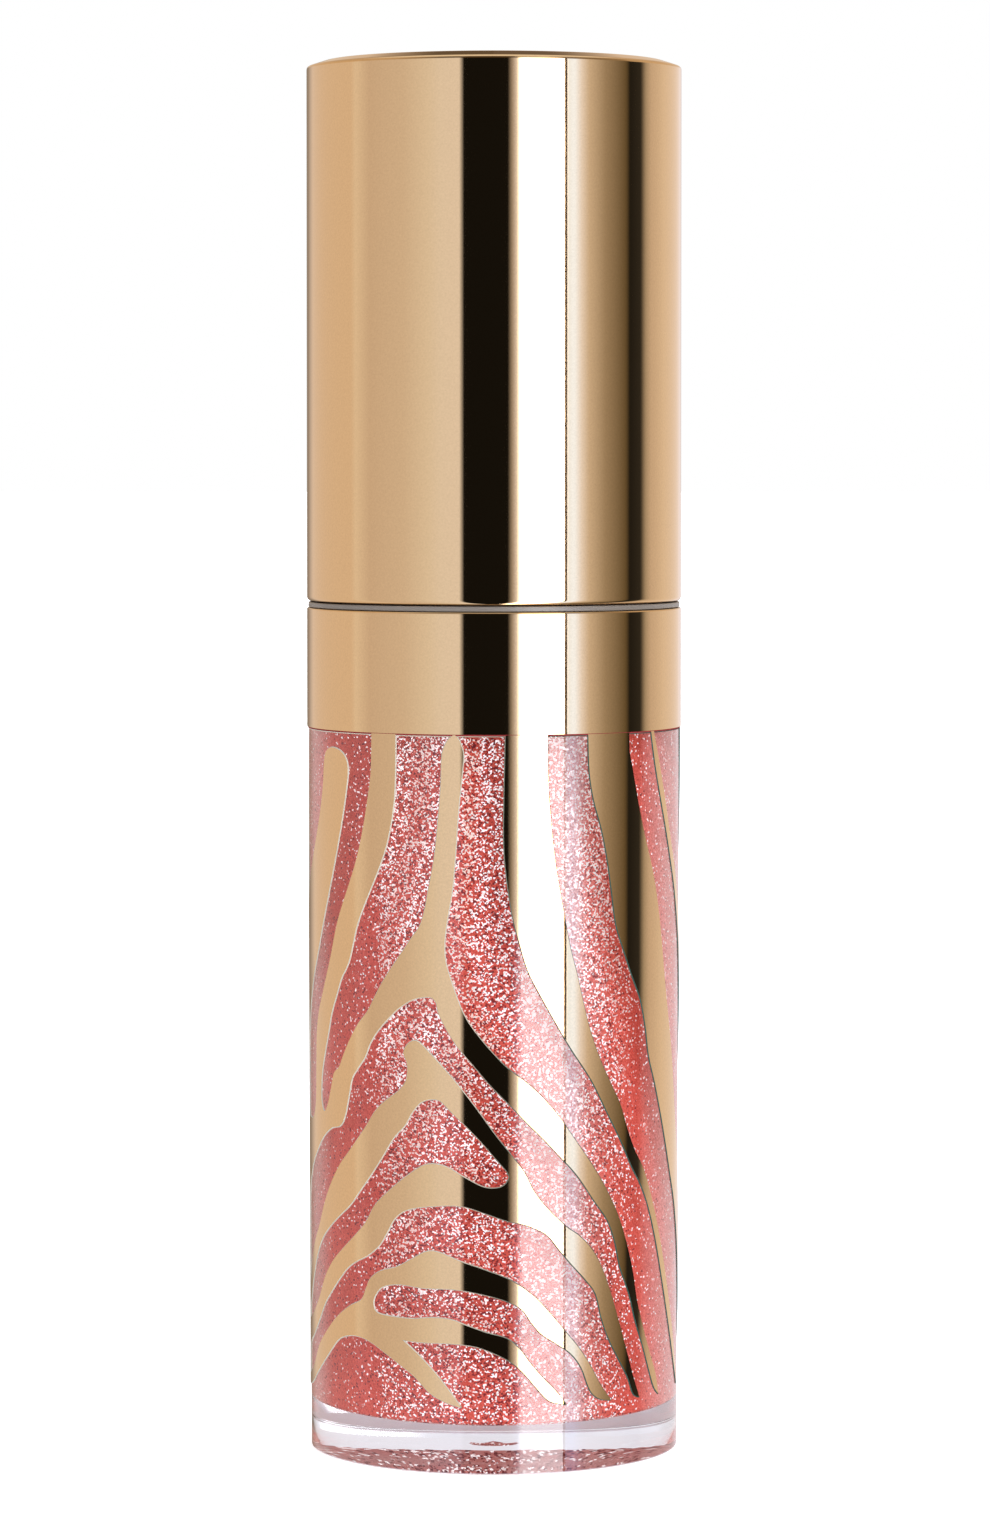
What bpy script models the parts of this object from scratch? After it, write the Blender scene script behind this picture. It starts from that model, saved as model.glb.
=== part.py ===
"""Lip gloss tube: a thick clear vial with a striped foil skin, a gold collar, a screw cap and a wand.

The axis of the tube is Z and the vial stands on z = 0.  Azimuths are in degrees on the outside of the vial,
0 on the front (-Y) side and growing towards +X.  The heights below are counted from a level half a millimetre
above the foot; every piece hangs from an empty at that level.
"""
import math

import bmesh
import bpy
from mathutils import Vector
from mathutils.geometry import delaunay_2d_cdt

MM = 0.001

MOVING = (
    "cap_liner", "cap_shell", "cap_insert", "cap_weight", "applicator_rod", "applicator_tip", "tip_flocking")

# Turned pieces share one facet count, so that thin gaps between them stay even.
SEGMENTS = 48
MERGE_DISTANCE = 1e-6

# Vial
VIAL_TOP_RADIUS = 9.90
VIAL_BASE_RADIUS = 9.78
VIAL_LEDGE_Z = 38.00
FOOT_Z = -0.5
BASE_FILLET = 0.18
FOOT_RADIUS = 8.9
DISH_HEIGHT = 0.57
DISH_STEPS = 4
GATE_RADIUS = 1.15
GATE_DEPTH = 0.12
CAVITY_RADIUS = 7.5
CAVITY_FLOOR_Z = 1.8
CAVITY_FILLET = 0.25
CAVITY_TOP_Z = 39.9
SPIGOT_RADIUS = 9.30
SHOULDER_Z = 43.70
NECK_RADIUS = 6.30
NECK_TOP_Z = 52.00
NECK_BORE_RADIUS = 4.60

# Thread
THREAD_PITCH = 3.2
THREAD_TURNS = 1.5
THREAD_START_Z = 45.9
NECK_THREAD_BEAD = 0.70
CAP_THREAD_BEAD = 0.45
THREAD_STEPS = 20

# Foil skin
FOIL_GAP = 0.04
FOIL_THICKNESS = 0.05
FOIL_TOP_Z = 37.96
FOIL_BAND_Z = 37.86
FOIL_SEAM = -172.5
FOIL_STEPS = 2
FOIL_EPSILON = 0.012

# Collar and the ring in the parting
OUTER_RADIUS = 10.0
COLLAR_BOTTOM_Z = 38.06
COLLAR_TOP_Z = 44.36
COLLAR_BORE = 9.40
RING_BOTTOM_Z = 44.42
RING_TOP_Z = 44.69
RING_RADIUS = 9.70

# Cap
CAP_BOTTOM_Z = 44.75
CAP_TOP_Z = 73.40
CAP_BORE = 9.50
CAP_CEILING_Z = 72.75
CAP_TOP_FILLET = 0.70
CAP_LIP_RADIUS = 0.40
INSERT_RADIUS = 9.40
INSERT_BORE = 7.60
INSERT_ROOF_Z = 53.10
SOCKET_RADIUS = 1.76
SOCKET_TOP_Z = 59.20

# Wand
ROD_RADIUS = 1.60
ROD_END_Z = 17.0
TIP_BOTTOM_Z = 4.9
TIP_FLATNESS = 0.72
TIP_LEAN = 0.45

# Each foil stripe is a ring of edges; an edge is smooth and the corners between edges are sharp.
FOIL_STRIPES = {
    # front: stripe from the collar, its fork and the long chevron that it meets
    "fork": [
        [(-40, 38), (-40.3, 36), (-41.6, 34.6), (-43.6, 33), (-46.4, 31.4), (-50, 30), (-56, 28),
         (-60.5, 26), (-63.3, 25), (-66.3, 24), (-69.6, 23), (-71.8, 21.8), (-72.4, 20), (-73, 18.2),
         (-76, 17.3), (-82, 17.2), (-90, 17.6)],
        [(-90, 11.4), (-82, 13.6), (-76, 14.9), (-72, 15.5), (-66, 16.4), (-60, 17), (-55, 17.2),
         (-52.3, 17.8), (-50.2, 19), (-48.8, 19.8), (-46, 20.4), (-43, 21), (-41, 21.7), (-38, 22.4),
         (-34, 23.1), (-30, 23.7), (-25, 24.2), (-20, 24.35), (-17.8, 24.1), (-16.6, 23.4), (-13, 22.3),
         (-10, 21.6), (-6, 20.8), (-1, 19.8), (5, 18.75), (10, 17.85), (15, 17), (20, 16.1), (26, 15),
         (32, 13.6), (37, 12.5), (40, 11.3), (42, 10), (46, 8.5), (49, 7), (53, 5.5), (56, 4.3), (59, 3.3),
         (62, 2.85)],
        [(62, 2.85), (60, 4), (57, 5), (54, 6.1), (51.5, 7.2), (49.5, 8.2), (48, 9.4), (46, 10.6),
         (42, 12.4), (37, 14), (32, 15.3), (26, 16.7), (20, 18.1), (15, 19.1), (10, 19.9), (4, 20.7),
         (0, 21.4), (-4, 22.2), (-7.5, 23), (-10, 23.8), (-12.6, 25), (-14.7, 26.2), (-15, 27.3),
         (-14, 28.6), (-12.6, 30), (-11.6, 32), (-10.8, 34), (-9.6, 36), (-9.2, 37), (-10.4, 37.7)],
        [(-10.4, 37.7), (-12, 38.0), (-14, 37.7)],
        [(-14, 37.7), (-15.7, 37), (-16.1, 35.4), (-17, 33.5), (-18.2, 31.6), (-20, 30), (-21.4, 28.8),
         (-23, 28), (-25.6, 27.4), (-29, 26.6), (-33, 25.7), (-36, 25), (-39, 24.2), (-42, 23.4),
         (-46, 22.7), (-50, 21.8), (-53, 21), (-55.5, 20.3), (-58.6, 19.9), (-60.6, 19), (-63, 18.1),
         (-65.5, 17.8), (-67.5, 18.5), (-66.8, 19.8), (-64.3, 21), (-62, 22), (-60, 23), (-57, 24),
         (-54, 25), (-50, 26), (-46, 28), (-40, 30), (-36.6, 31.2), (-34, 32.4), (-32, 34), (-31.2, 35.6),
         (-31, 38)],
    ],
    # front left: finger with a round end
    "finger": [
        [(-90, 18), (-82, 22.4), (-76, 24.5), (-70, 26.2), (-65, 28), (-60, 30), (-56.6, 31.6), (-53.4, 33.4),
         (-51.2, 35), (-50.4, 36.1), (-52.6, 36.8), (-58, 37.1), (-62.6, 36.9), (-64.4, 36.3), (-65.4, 35),
         (-68, 33.5), (-72, 32.1), (-76, 31), (-82, 29.6), (-90, 26.6)],
    ],
    # front: twin chevrons round a closed window
    "twin_outer": [
        [(-90, 6.6), (-82, 8.6), (-76, 10.4), (-70, 11.6), (-65, 13), (-60, 14.2), (-55, 15.2), (-50, 16),
         (-43, 17.3), (-39, 18.2), (-35, 18.8), (-30, 19.4), (-27.5, 20), (-27.2, 20.8), (-28.4, 21.4),
         (-26.6, 21.9), (-23.6, 22), (-19, 21.3), (-14, 20.4), (-10, 19.6), (-5, 18.5), (0, 17.3),
         (5, 16.2), (9, 15.3), (12, 14.3), (16, 13.4), (22, 12.4), (27, 11.8), (31.5, 11), (35, 10),
         (38, 8.8), (41, 7.4), (45, 5.5), (48, 4.1), (51, 2.95)],
        [(51, 2.95), (48, 3.2), (45.5, 4.1), (41, 5.3), (37.5, 6.3), (34.8, 7.4), (32.6, 8.7), (29, 9.5),
         (24, 10.4), (20, 11.2), (16, 12), (10, 12.5), (4, 12.75), (-2, 13.1), (-10, 13.5), (-19, 13.45),
         (-27, 13.2), (-31.5, 12.7), (-34.5, 11.9), (-37.4, 11.2), (-42, 10.6), (-47, 10.2), (-51, 9.8),
         (-55, 9.2), (-60, 8.4), (-65, 7.6), (-70, 6.6), (-76, 5.7), (-82, 5.1), (-90, 3.6)],
    ],
    # front: third chevron with the two short branches under it
    "branch_upper": [
        [(-90, 2.95), (-82, 3.5), (-76, 4.1), (-70, 5.3), (-65, 6), (-60, 6.7), (-55, 7.3), (-50, 7.8),
         (-45, 8.2), (-43, 8.8), (-41, 9.4), (-37, 9.85), (-31, 10.15), (-26, 10.6), (-21, 11.05),
         (-17, 11.05), (-10, 10.6), (-3, 10.2), (5, 9.65), (12, 8.8), (17, 7.9), (22, 6.9), (27, 5.9),
         (31, 4.9), (34.5, 3.9), (38.5, 3.05)],
        [(38.5, 3.05), (34, 3.2), (30.6, 3.7), (27.6, 4.9), (24, 5.7), (19, 6.3), (14.6, 6.8), (11.5, 7.4),
         (8.6, 8.1), (4, 8.55), (-3, 8.9), (-12, 9.15), (-22, 9.15), (-30, 9.25), (-36, 9.05), (-38.8, 8.6),
         (-39.8, 8.15), (-38.8, 7.7), (-35, 7.55), (-26, 7.5), (-19, 7.62), (-13, 7.55), (-8, 7.25),
         (-2, 6.9), (4, 6.6), (8, 6), (11, 5.3), (15, 4.5), (19, 3.8), (22.5, 3.05)],
        [(22.5, 3.05), (17, 3.3), (13, 4), (9, 4.8), (5, 5.4), (0, 5.85), (-6, 6.2), (-14, 6.32), (-22, 6.3),
         (-29, 6.35)],
        [(-29, 6.35), (-24, 5.7), (-18.5, 4.8), (-14, 3.9), (-10, 3.0)],
        [(-10, 3.0), (-15, 3.25), (-20, 3.7), (-25, 4.5), (-30, 5.05), (-35, 5.55), (-41, 6.05), (-46, 6.25),
         (-51, 6.2), (-56, 5.9), (-61, 5.2), (-66, 4.5), (-72, 3.75), (-77, 3.2), (-82, 2.9), (-90, 2.7)],
    ],
    # front: broad stripe from the collar, left of the middle, to the lower right
    "sweep": [
        [(3.5, 38), (3.1, 35), (3.0, 32.4), (3.8, 30.6), (5.6, 28.6), (8, 27), (10.4, 25.7), (14, 24.5),
         (19, 23), (24, 21.6), (31, 19.9), (37, 18.1), (42, 16.7), (47, 15.2), (52, 14), (56, 12.7), (60, 11),
         (65, 8.6), (70, 6.4), (76, 4.2), (81, 2.9)],
        [(81, 2.9), (76, 5.3), (71, 7.4), (67, 9.2), (63, 11), (58, 13.1), (53, 14.9), (48.5, 16), (45, 17.2),
         (42, 18.5), (38, 19.7), (34, 21), (30.5, 22.5), (28, 24), (26, 25.4), (23.6, 26.9), (21.2, 28.9),
         (19, 31), (17.4, 33.2), (16.4, 35.6), (16.2, 38)],
    ],
    # front right: broad stripe from the collar to the right edge
    "flank": [
        [(29.5, 38), (30, 36), (31.6, 34.5), (34.4, 33), (36.6, 31.4), (38.2, 29.8), (40, 28), (43, 26.7),
         (47, 25.2), (51, 23.9), (53.6, 22.4), (55.4, 20.9), (59, 19.4), (63, 17.7), (67, 16), (71, 14.4),
         (77, 12.4), (84, 9.4), (91, 6.2), (98, 3.2)],
        [(98, 3.2), (92, 8.6), (85, 13), (77, 17.4), (72.6, 20.6), (69, 22.7), (66, 24.6), (63.6, 26.6),
         (61, 28.6), (57.4, 30.6), (53, 32.5), (49.6, 34.3), (47, 36), (45.5, 37), (45.3, 38)],
    ],
    # right: thin stripe
    "sliver": [
        [(56, 38), (58.6, 36.2), (62, 34.5), (66, 32.8), (70, 31.2), (76, 29), (84, 25.6), (92, 21.2),
         (100, 16), (109, 10.6), (117, 6.4)],
        [(117, 6.4), (108, 13), (100, 18.6), (92, 23.4), (84, 27.3), (77, 30), (71, 32), (66, 34.1),
         (61, 36.4), (57.6, 38)],
    ],
    # left: the trunk that the ribs of the front and of the back grow from
    "trunk": [
        [(-104, 38), (-102, 33), (-99, 28), (-97, 22), (-96, 16), (-96, 10), (-94, 5), (-92, 2.9)],
        [(-92, 2.9), (-87, 2.75), (-83.6, 3.6), (-83.4, 8), (-84.6, 14), (-84.6, 20), (-86.4, 27),
         (-91, 33), (-94, 38)],
    ],
    "rib_high": [
        [(-94, 29.4), (-104, 26.6), (-116, 22), (-126, 16.6), (-134, 11), (-140, 5.6)],
        [(-140, 5.6), (-131, 8.6), (-122, 13.4), (-112, 18.6), (-102, 22.4), (-94, 24.2)],
    ],
    "rib_middle": [
        [(-94, 18.6), (-103, 16.6), (-112, 13), (-120, 8.6), (-126, 4.2)],
        [(-126, 4.2), (-117, 6.6), (-109, 10), (-101, 12.8), (-94, 14)],
    ],
    "rib_low": [
        [(-94, 9.6), (-101, 8.6), (-108, 6.4), (-114, 3.4)],
        [(-114, 3.4), (-106, 4.2), (-100, 5.6), (-94, 6.4)],
    ],
    # back: stripes hanging from the collar, leaning away from the trunk
    "back_one": [
        [(-124, 38), (-130, 32), (-138, 25), (-146, 17.6), (-153, 10), (-158, 4.4)],
        [(-158, 4.4), (-149, 10), (-140, 16), (-130, 23.6), (-121, 31), (-114, 38)],
    ],
    "back_two": [
        [(-150, 38), (-156, 32), (-163, 25), (-169, 17.6), (-173, 11)],
        [(-173, 11), (-164, 16.6), (-156, 23), (-148, 30), (-141, 38)],
    ],
    "back_three": [
        [(-178, 38), (-181.5, 32), (-186, 26), (-191, 19), (-194, 11.6), (-193, 6)],
        [(-193, 6), (-188.5, 11.6), (-184, 19), (-178, 25.6), (-173.6, 32), (-169, 38)],
    ],
    "back_four": [
        [(154, 38), (153, 33), (151, 28.6), (148.6, 24.6)],
        [(148.6, 24.6), (146.4, 28.6), (144.6, 33), (143, 38)],
    ],
    "back_five": [
        [(113, 38), (118, 33), (125, 26), (133, 19), (141, 12), (147, 5.6)],
        [(147, 5.6), (144.4, 12), (139, 19), (132.6, 26), (127, 32.4), (123, 38)],
    ],
    "back_six": [
        [(86, 38), (91, 33.6), (98, 28), (106, 21.6), (115, 14.6), (124, 8), (130, 3.6)],
        [(130, 3.6), (125.6, 10), (118, 17), (110, 24.4), (103, 30.6), (98, 35), (95.6, 38)],
    ],
}

# The closed window between the twin chevrons.
FOIL_WINDOW = [
    [(-83, 7.0), (-76, 8.9), (-72, 10), (-67, 11), (-61, 11.8), (-55, 12.5), (-50, 13.1), (-45, 14),
     (-40, 15), (-36, 15.9), (-32, 16.9), (-28, 17.6), (-25.5, 18.3), (-22, 18.9), (-17, 19), (-13, 18.4),
     (-8, 17.6), (-3, 16.7), (1, 15.9), (4, 15.3), (4.4, 14.9), (2, 14.5), (-3, 14.5), (-9, 15),
     (-15, 15.55), (-21, 15.6), (-27, 15), (-33, 14.2), (-39, 13.3), (-43, 12.3), (-48, 11.5), (-54, 10.7),
     (-60, 9.9), (-65, 9), (-70, 7.8), (-76, 6.9), (-83, 6.4), (-83, 7.0)],
]


def clear_scene():
    for item in list(bpy.data.objects):
        bpy.data.objects.remove(item, do_unlink=True)


def new_collection(name):
    collection = bpy.data.collections.new(name)
    bpy.context.scene.collection.children.link(collection)
    return collection


def material(name, colour, roughness, metallic=0.0, transmission=0.0):
    made = bpy.data.materials.new(name)
    made.use_nodes = True
    shader = made.node_tree.nodes["Principled BSDF"]
    shader.inputs["Base Color"].default_value = (*colour, 1.0)
    shader.inputs["Roughness"].default_value = roughness
    shader.inputs["Metallic"].default_value = metallic
    shader.inputs["Transmission Weight"].default_value = transmission
    made.diffuse_color = (*colour, 1.0)
    return made


def add_object(name, mesh, collection, look=None):
    made = bpy.data.objects.new(name, mesh)
    collection.objects.link(made)
    if look is not None:
        mesh.materials.append(look)
    return made


def arc(centre_r, centre_z, radius, start, end, steps):
    """Points of a circular arc in the profile plane, angles in degrees from +r towards +z."""
    points = []
    for i in range(steps + 1):
        angle = math.radians(start + (end - start) * i / steps)
        points.append((centre_r + radius * math.cos(angle), centre_z + radius * math.sin(angle)))
    return points


def signed_area(points):
    total = 0.0
    for (x0, y0), (x1, y1) in zip(points, points[1:] + points[:1]):
        total += x0 * y1 - x1 * y0
    return total / 2


def turned(name, profile, collection, look, closed=False, segments=SEGMENTS):
    """Turn a profile of (radius, height) in millimetres about Z with a Screw modifier."""
    if signed_area(profile) > 0:
        profile = profile[::-1]
    mesh = bpy.data.meshes.new(name)
    vertices = [(r * MM, 0.0, z * MM) for r, z in profile]
    edges = [(i, i + 1) for i in range(len(profile) - 1)]
    if closed:
        edges.append((len(profile) - 1, 0))
    mesh.from_pydata(vertices, edges, [])
    made = add_object(name, mesh, collection, look)
    screw = made.modifiers.new("turn", "SCREW")
    screw.steps = segments
    screw.render_steps = segments
    screw.use_merge_vertices = True
    screw.merge_threshold = MERGE_DISTANCE
    screw.use_smooth_shade = True
    return made


def apply_modifiers(item):
    """Replace an object's mesh by its evaluated mesh."""
    graph = bpy.context.evaluated_depsgraph_get()
    mesh = bpy.data.meshes.new_from_object(item.evaluated_get(graph))
    item.modifiers.clear()
    item.data = mesh
    return mesh


def helix_cutter(name, radius, bead, turns, start_z, collection):
    """A round bead wound on a cylinder, as a closed mesh; both ends sink into the wall."""
    curve = bpy.data.curves.new(name, "CURVE")
    curve.dimensions = "3D"
    curve.bevel_depth = bead * MM
    curve.bevel_resolution = 1
    curve.use_fill_caps = True
    count = int(turns * THREAD_STEPS) + 1
    spline = curve.splines.new("POLY")
    spline.points.add(count - 1)
    for i, point in enumerate(spline.points):
        angle = 2 * math.pi * i / THREAD_STEPS
        z = start_z + THREAD_PITCH * i / THREAD_STEPS
        point.co = (radius * MM * math.cos(angle), radius * MM * math.sin(angle), z * MM, 1.0)
        point.radius = 0.35 if i in (0, count - 1) else 1.0
    guide = bpy.data.objects.new(name + "_curve", curve)
    collection.objects.link(guide)
    graph = bpy.context.evaluated_depsgraph_get()
    mesh = bpy.data.meshes.new_from_object(guide.evaluated_get(graph))
    mesh.name = name
    work = bmesh.new()
    work.from_mesh(mesh)
    bmesh.ops.remove_doubles(work, verts=work.verts, dist=MERGE_DISTANCE)
    bmesh.ops.recalc_face_normals(work, faces=work.faces)
    work.to_mesh(mesh)
    work.free()
    made = bpy.data.objects.new(name, mesh)
    made.matrix_world = guide.matrix_world
    collection.objects.link(made)
    bpy.data.objects.remove(guide, do_unlink=True)
    made.hide_render = True
    made.display_type = "WIRE"
    return made


def join_boolean(item, cutter, operation):
    boolean = item.modifiers.new(operation.lower(), "BOOLEAN")
    boolean.operation = operation
    boolean.solver = "EXACT"
    boolean.object = cutter


def smooth_edge(points, steps):
    """Catmull-Rom curve through an open run of points."""
    padded = [points[0]] + points + [points[-1]]
    result = []
    for p0, p1, p2, p3 in zip(padded, padded[1:], padded[2:], padded[3:]):
        for i in range(steps):
            t = i / steps
            result.append(tuple(
                0.5 * (2 * b + (c - a) * t + (2 * a - 5 * b + 4 * c - d) * t * t
                       + (3 * b - a - 3 * c + d) * t ** 3)
                for a, b, c, d in zip(p0, p1, p2, p3)))
    result.append(points[-1])
    return result


def stripe_outline(edges, steps):
    outline = []
    for edge in edges:
        for point in smooth_edge(edge, steps):
            if not outline or math.dist(outline[-1], point) > 1e-6:
                outline.append(point)
    if math.dist(outline[0], outline[-1]) < 1e-6:
        outline.pop()
    return outline


def inside(outline, x, y):
    hit = False
    for (x0, y0), (x1, y1) in zip(outline, outline[1:] + outline[:1]):
        if (y0 > y) != (y1 > y) and x < x0 + (x1 - x0) * (y - y0) / (y1 - y0):
            hit = not hit
    return hit


def vial_radius(z):
    start_z = FOOT_Z + BASE_FILLET
    slope = (VIAL_TOP_RADIUS - VIAL_BASE_RADIUS) / (VIAL_LEDGE_Z - start_z)
    return VIAL_BASE_RADIUS + slope * (z - start_z)


def on_facet(azimuth, z, offset):
    """Point on the facets of the vial, moved out by an offset."""
    facet = 360.0 / SEGMENTS
    within = math.radians((azimuth % facet) - facet / 2)
    half = math.radians(facet / 2)
    radius = (vial_radius(z) + offset) * math.cos(half) / math.cos(within)
    angle = math.radians(azimuth)
    return Vector((radius * math.sin(angle), -radius * math.cos(angle), z)) * MM


def foil_skin(name, collection, look):
    """A thin skin with the stripe pattern, flat on every facet of the vial."""
    per_degree = math.radians(1.0) * VIAL_TOP_RADIUS
    start, end = FOIL_SEAM, FOIL_SEAM + 360.0
    outlines = []
    for edges in FOIL_STRIPES.values():
        outline = stripe_outline(edges, FOIL_STEPS)
        for turn in (-360.0, 0.0, 360.0):
            moved = [(a + turn, min(z, FOIL_BAND_Z + 0.05)) for a, z in outline]
            if max(a for a, _ in moved) > start and min(a for a, _ in moved) < end:
                outlines.append(moved)
    window = stripe_outline(FOIL_WINDOW, FOIL_STEPS)
    points = []
    links = []
    for outline in outlines + [window]:
        base = len(points)
        points.extend(Vector((a * per_degree, z)) for a, z in outline)
        links.extend((base + i, base + (i + 1) % len(outline)) for i in range(len(outline)))
    facet = 360.0 / SEGMENTS
    for i in range(SEGMENTS + 1):
        column = (start + i * facet) * per_degree
        links.append((len(points), len(points) + 1))
        points.append(Vector((column, 0.0)))
        points.append(Vector((column, FOIL_TOP_Z)))
    for height in (FOIL_BAND_Z, FOIL_TOP_Z):
        links.append((len(points), len(points) + 1))
        points.append(Vector((start * per_degree, height)))
        points.append(Vector((end * per_degree, height)))
    found, _, faces, _, _, _ = delaunay_2d_cdt(points, links, [], 0, FOIL_EPSILON)
    kept = []
    for face in faces:
        x = sum(found[i].x for i in face) / len(face) / per_degree
        y = sum(found[i].y for i in face) / len(face)
        if not start < x < end or y > FOIL_TOP_Z:
            continue
        on_stripe = any(inside(outline, x, y) for outline in outlines) and not inside(window, x, y)
        if y > FOIL_BAND_Z or on_stripe:
            kept.append(face)
    work = bmesh.new()
    layers = []
    for offset in (FOIL_GAP, FOIL_GAP + FOIL_THICKNESS):
        layers.append([work.verts.new(on_facet(p.x / per_degree, p.y, offset)) for p in found])
    borders = {}
    for face in kept:
        for i, j in zip(face, face[1:] + face[:1]):
            if (j, i) in borders:
                del borders[(j, i)]
            else:
                borders[(i, j)] = True
    low, high = layers
    for face in kept:
        work.faces.new([high[i] for i in face])
        work.faces.new([low[i] for i in reversed(face)])
    seam_low, seam_high = start * per_degree, end * per_degree
    for i, j in borders:
        at_seam = any(
            abs(found[i].x - x) < 1e-4 and abs(found[j].x - x) < 1e-4 for x in (seam_low, seam_high))
        if not at_seam:
            work.faces.new([low[i], low[j], high[j], high[i]])
    loose = [v for v in work.verts if not v.link_faces]
    bmesh.ops.delete(work, geom=loose, context="VERTS")
    bmesh.ops.remove_doubles(work, verts=work.verts, dist=0.002 * MM)
    bmesh.ops.recalc_face_normals(work, faces=work.faces)
    mesh = bpy.data.meshes.new(name)
    work.to_mesh(mesh)
    work.free()
    return add_object(name, mesh, collection, look)


def dish_height(radius):
    """Height of the shallow dish in the underside, inside the foot."""
    return FOOT_Z + DISH_HEIGHT * (1 - (radius / FOOT_RADIUS) ** 2)


def vial_profile():
    profile = [(0, CAVITY_FLOOR_Z)]
    profile += arc(CAVITY_RADIUS - CAVITY_FILLET, CAVITY_FLOOR_Z + CAVITY_FILLET, CAVITY_FILLET, -90, 0, 2)
    profile += [(CAVITY_RADIUS, CAVITY_TOP_Z), (7.2, 40.6), (4.9, 42.6), (NECK_BORE_RADIUS, 43.1)]
    profile += [(NECK_BORE_RADIUS, NECK_TOP_Z), (NECK_RADIUS - 0.2, NECK_TOP_Z)]
    profile += [(NECK_RADIUS, NECK_TOP_Z - 0.2), (NECK_RADIUS, SHOULDER_Z)]
    profile += arc(SPIGOT_RADIUS - 0.5, SHOULDER_Z - 0.5, 0.5, 90, 0, 2)
    profile += [(SPIGOT_RADIUS, VIAL_LEDGE_Z), (VIAL_TOP_RADIUS, VIAL_LEDGE_Z)]
    profile += arc(VIAL_BASE_RADIUS - BASE_FILLET, FOOT_Z + BASE_FILLET, BASE_FILLET, 0, -90, 2)
    for i in range(DISH_STEPS + 1):
        radius = FOOT_RADIUS + (GATE_RADIUS - FOOT_RADIUS) * i / DISH_STEPS
        profile.append((radius, dish_height(radius)))
    gate_z = dish_height(GATE_RADIUS) + GATE_DEPTH
    profile += [(GATE_RADIUS - 0.1, gate_z), (0, gate_z)]
    return profile


def wand_tip_profile(grow):
    """Half outline of the applicator tip from the waist down, grown outwards; 0 is the core."""
    waist = [(0.80, 16.6), (0.95, 15.6), (1.20, 13.5), (1.35, 11.0), (1.30, 8.5), (1.00, 6.6), (0.55, 5.7)]
    return [(r + grow, z - 0.35 * grow) for r, z in waist] + [(0, 5.4 - grow)]


def shape_tip(item):
    """Flatten the turned tip front to back and lean its end a little, as a doe-foot tip is."""
    mesh = apply_modifiers(item)
    for vertex in mesh.vertices:
        below = max(0.0, ROD_END_Z - 0.4 - vertex.co.z / MM) / (ROD_END_Z - 0.4 - TIP_BOTTOM_Z)
        flat = 1.0 - (1.0 - TIP_FLATNESS) * min(1.0, below * 2.5)
        vertex.co.y = vertex.co.y * flat - TIP_LEAN * below ** 2 * MM
    mesh.shade_smooth()


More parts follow.
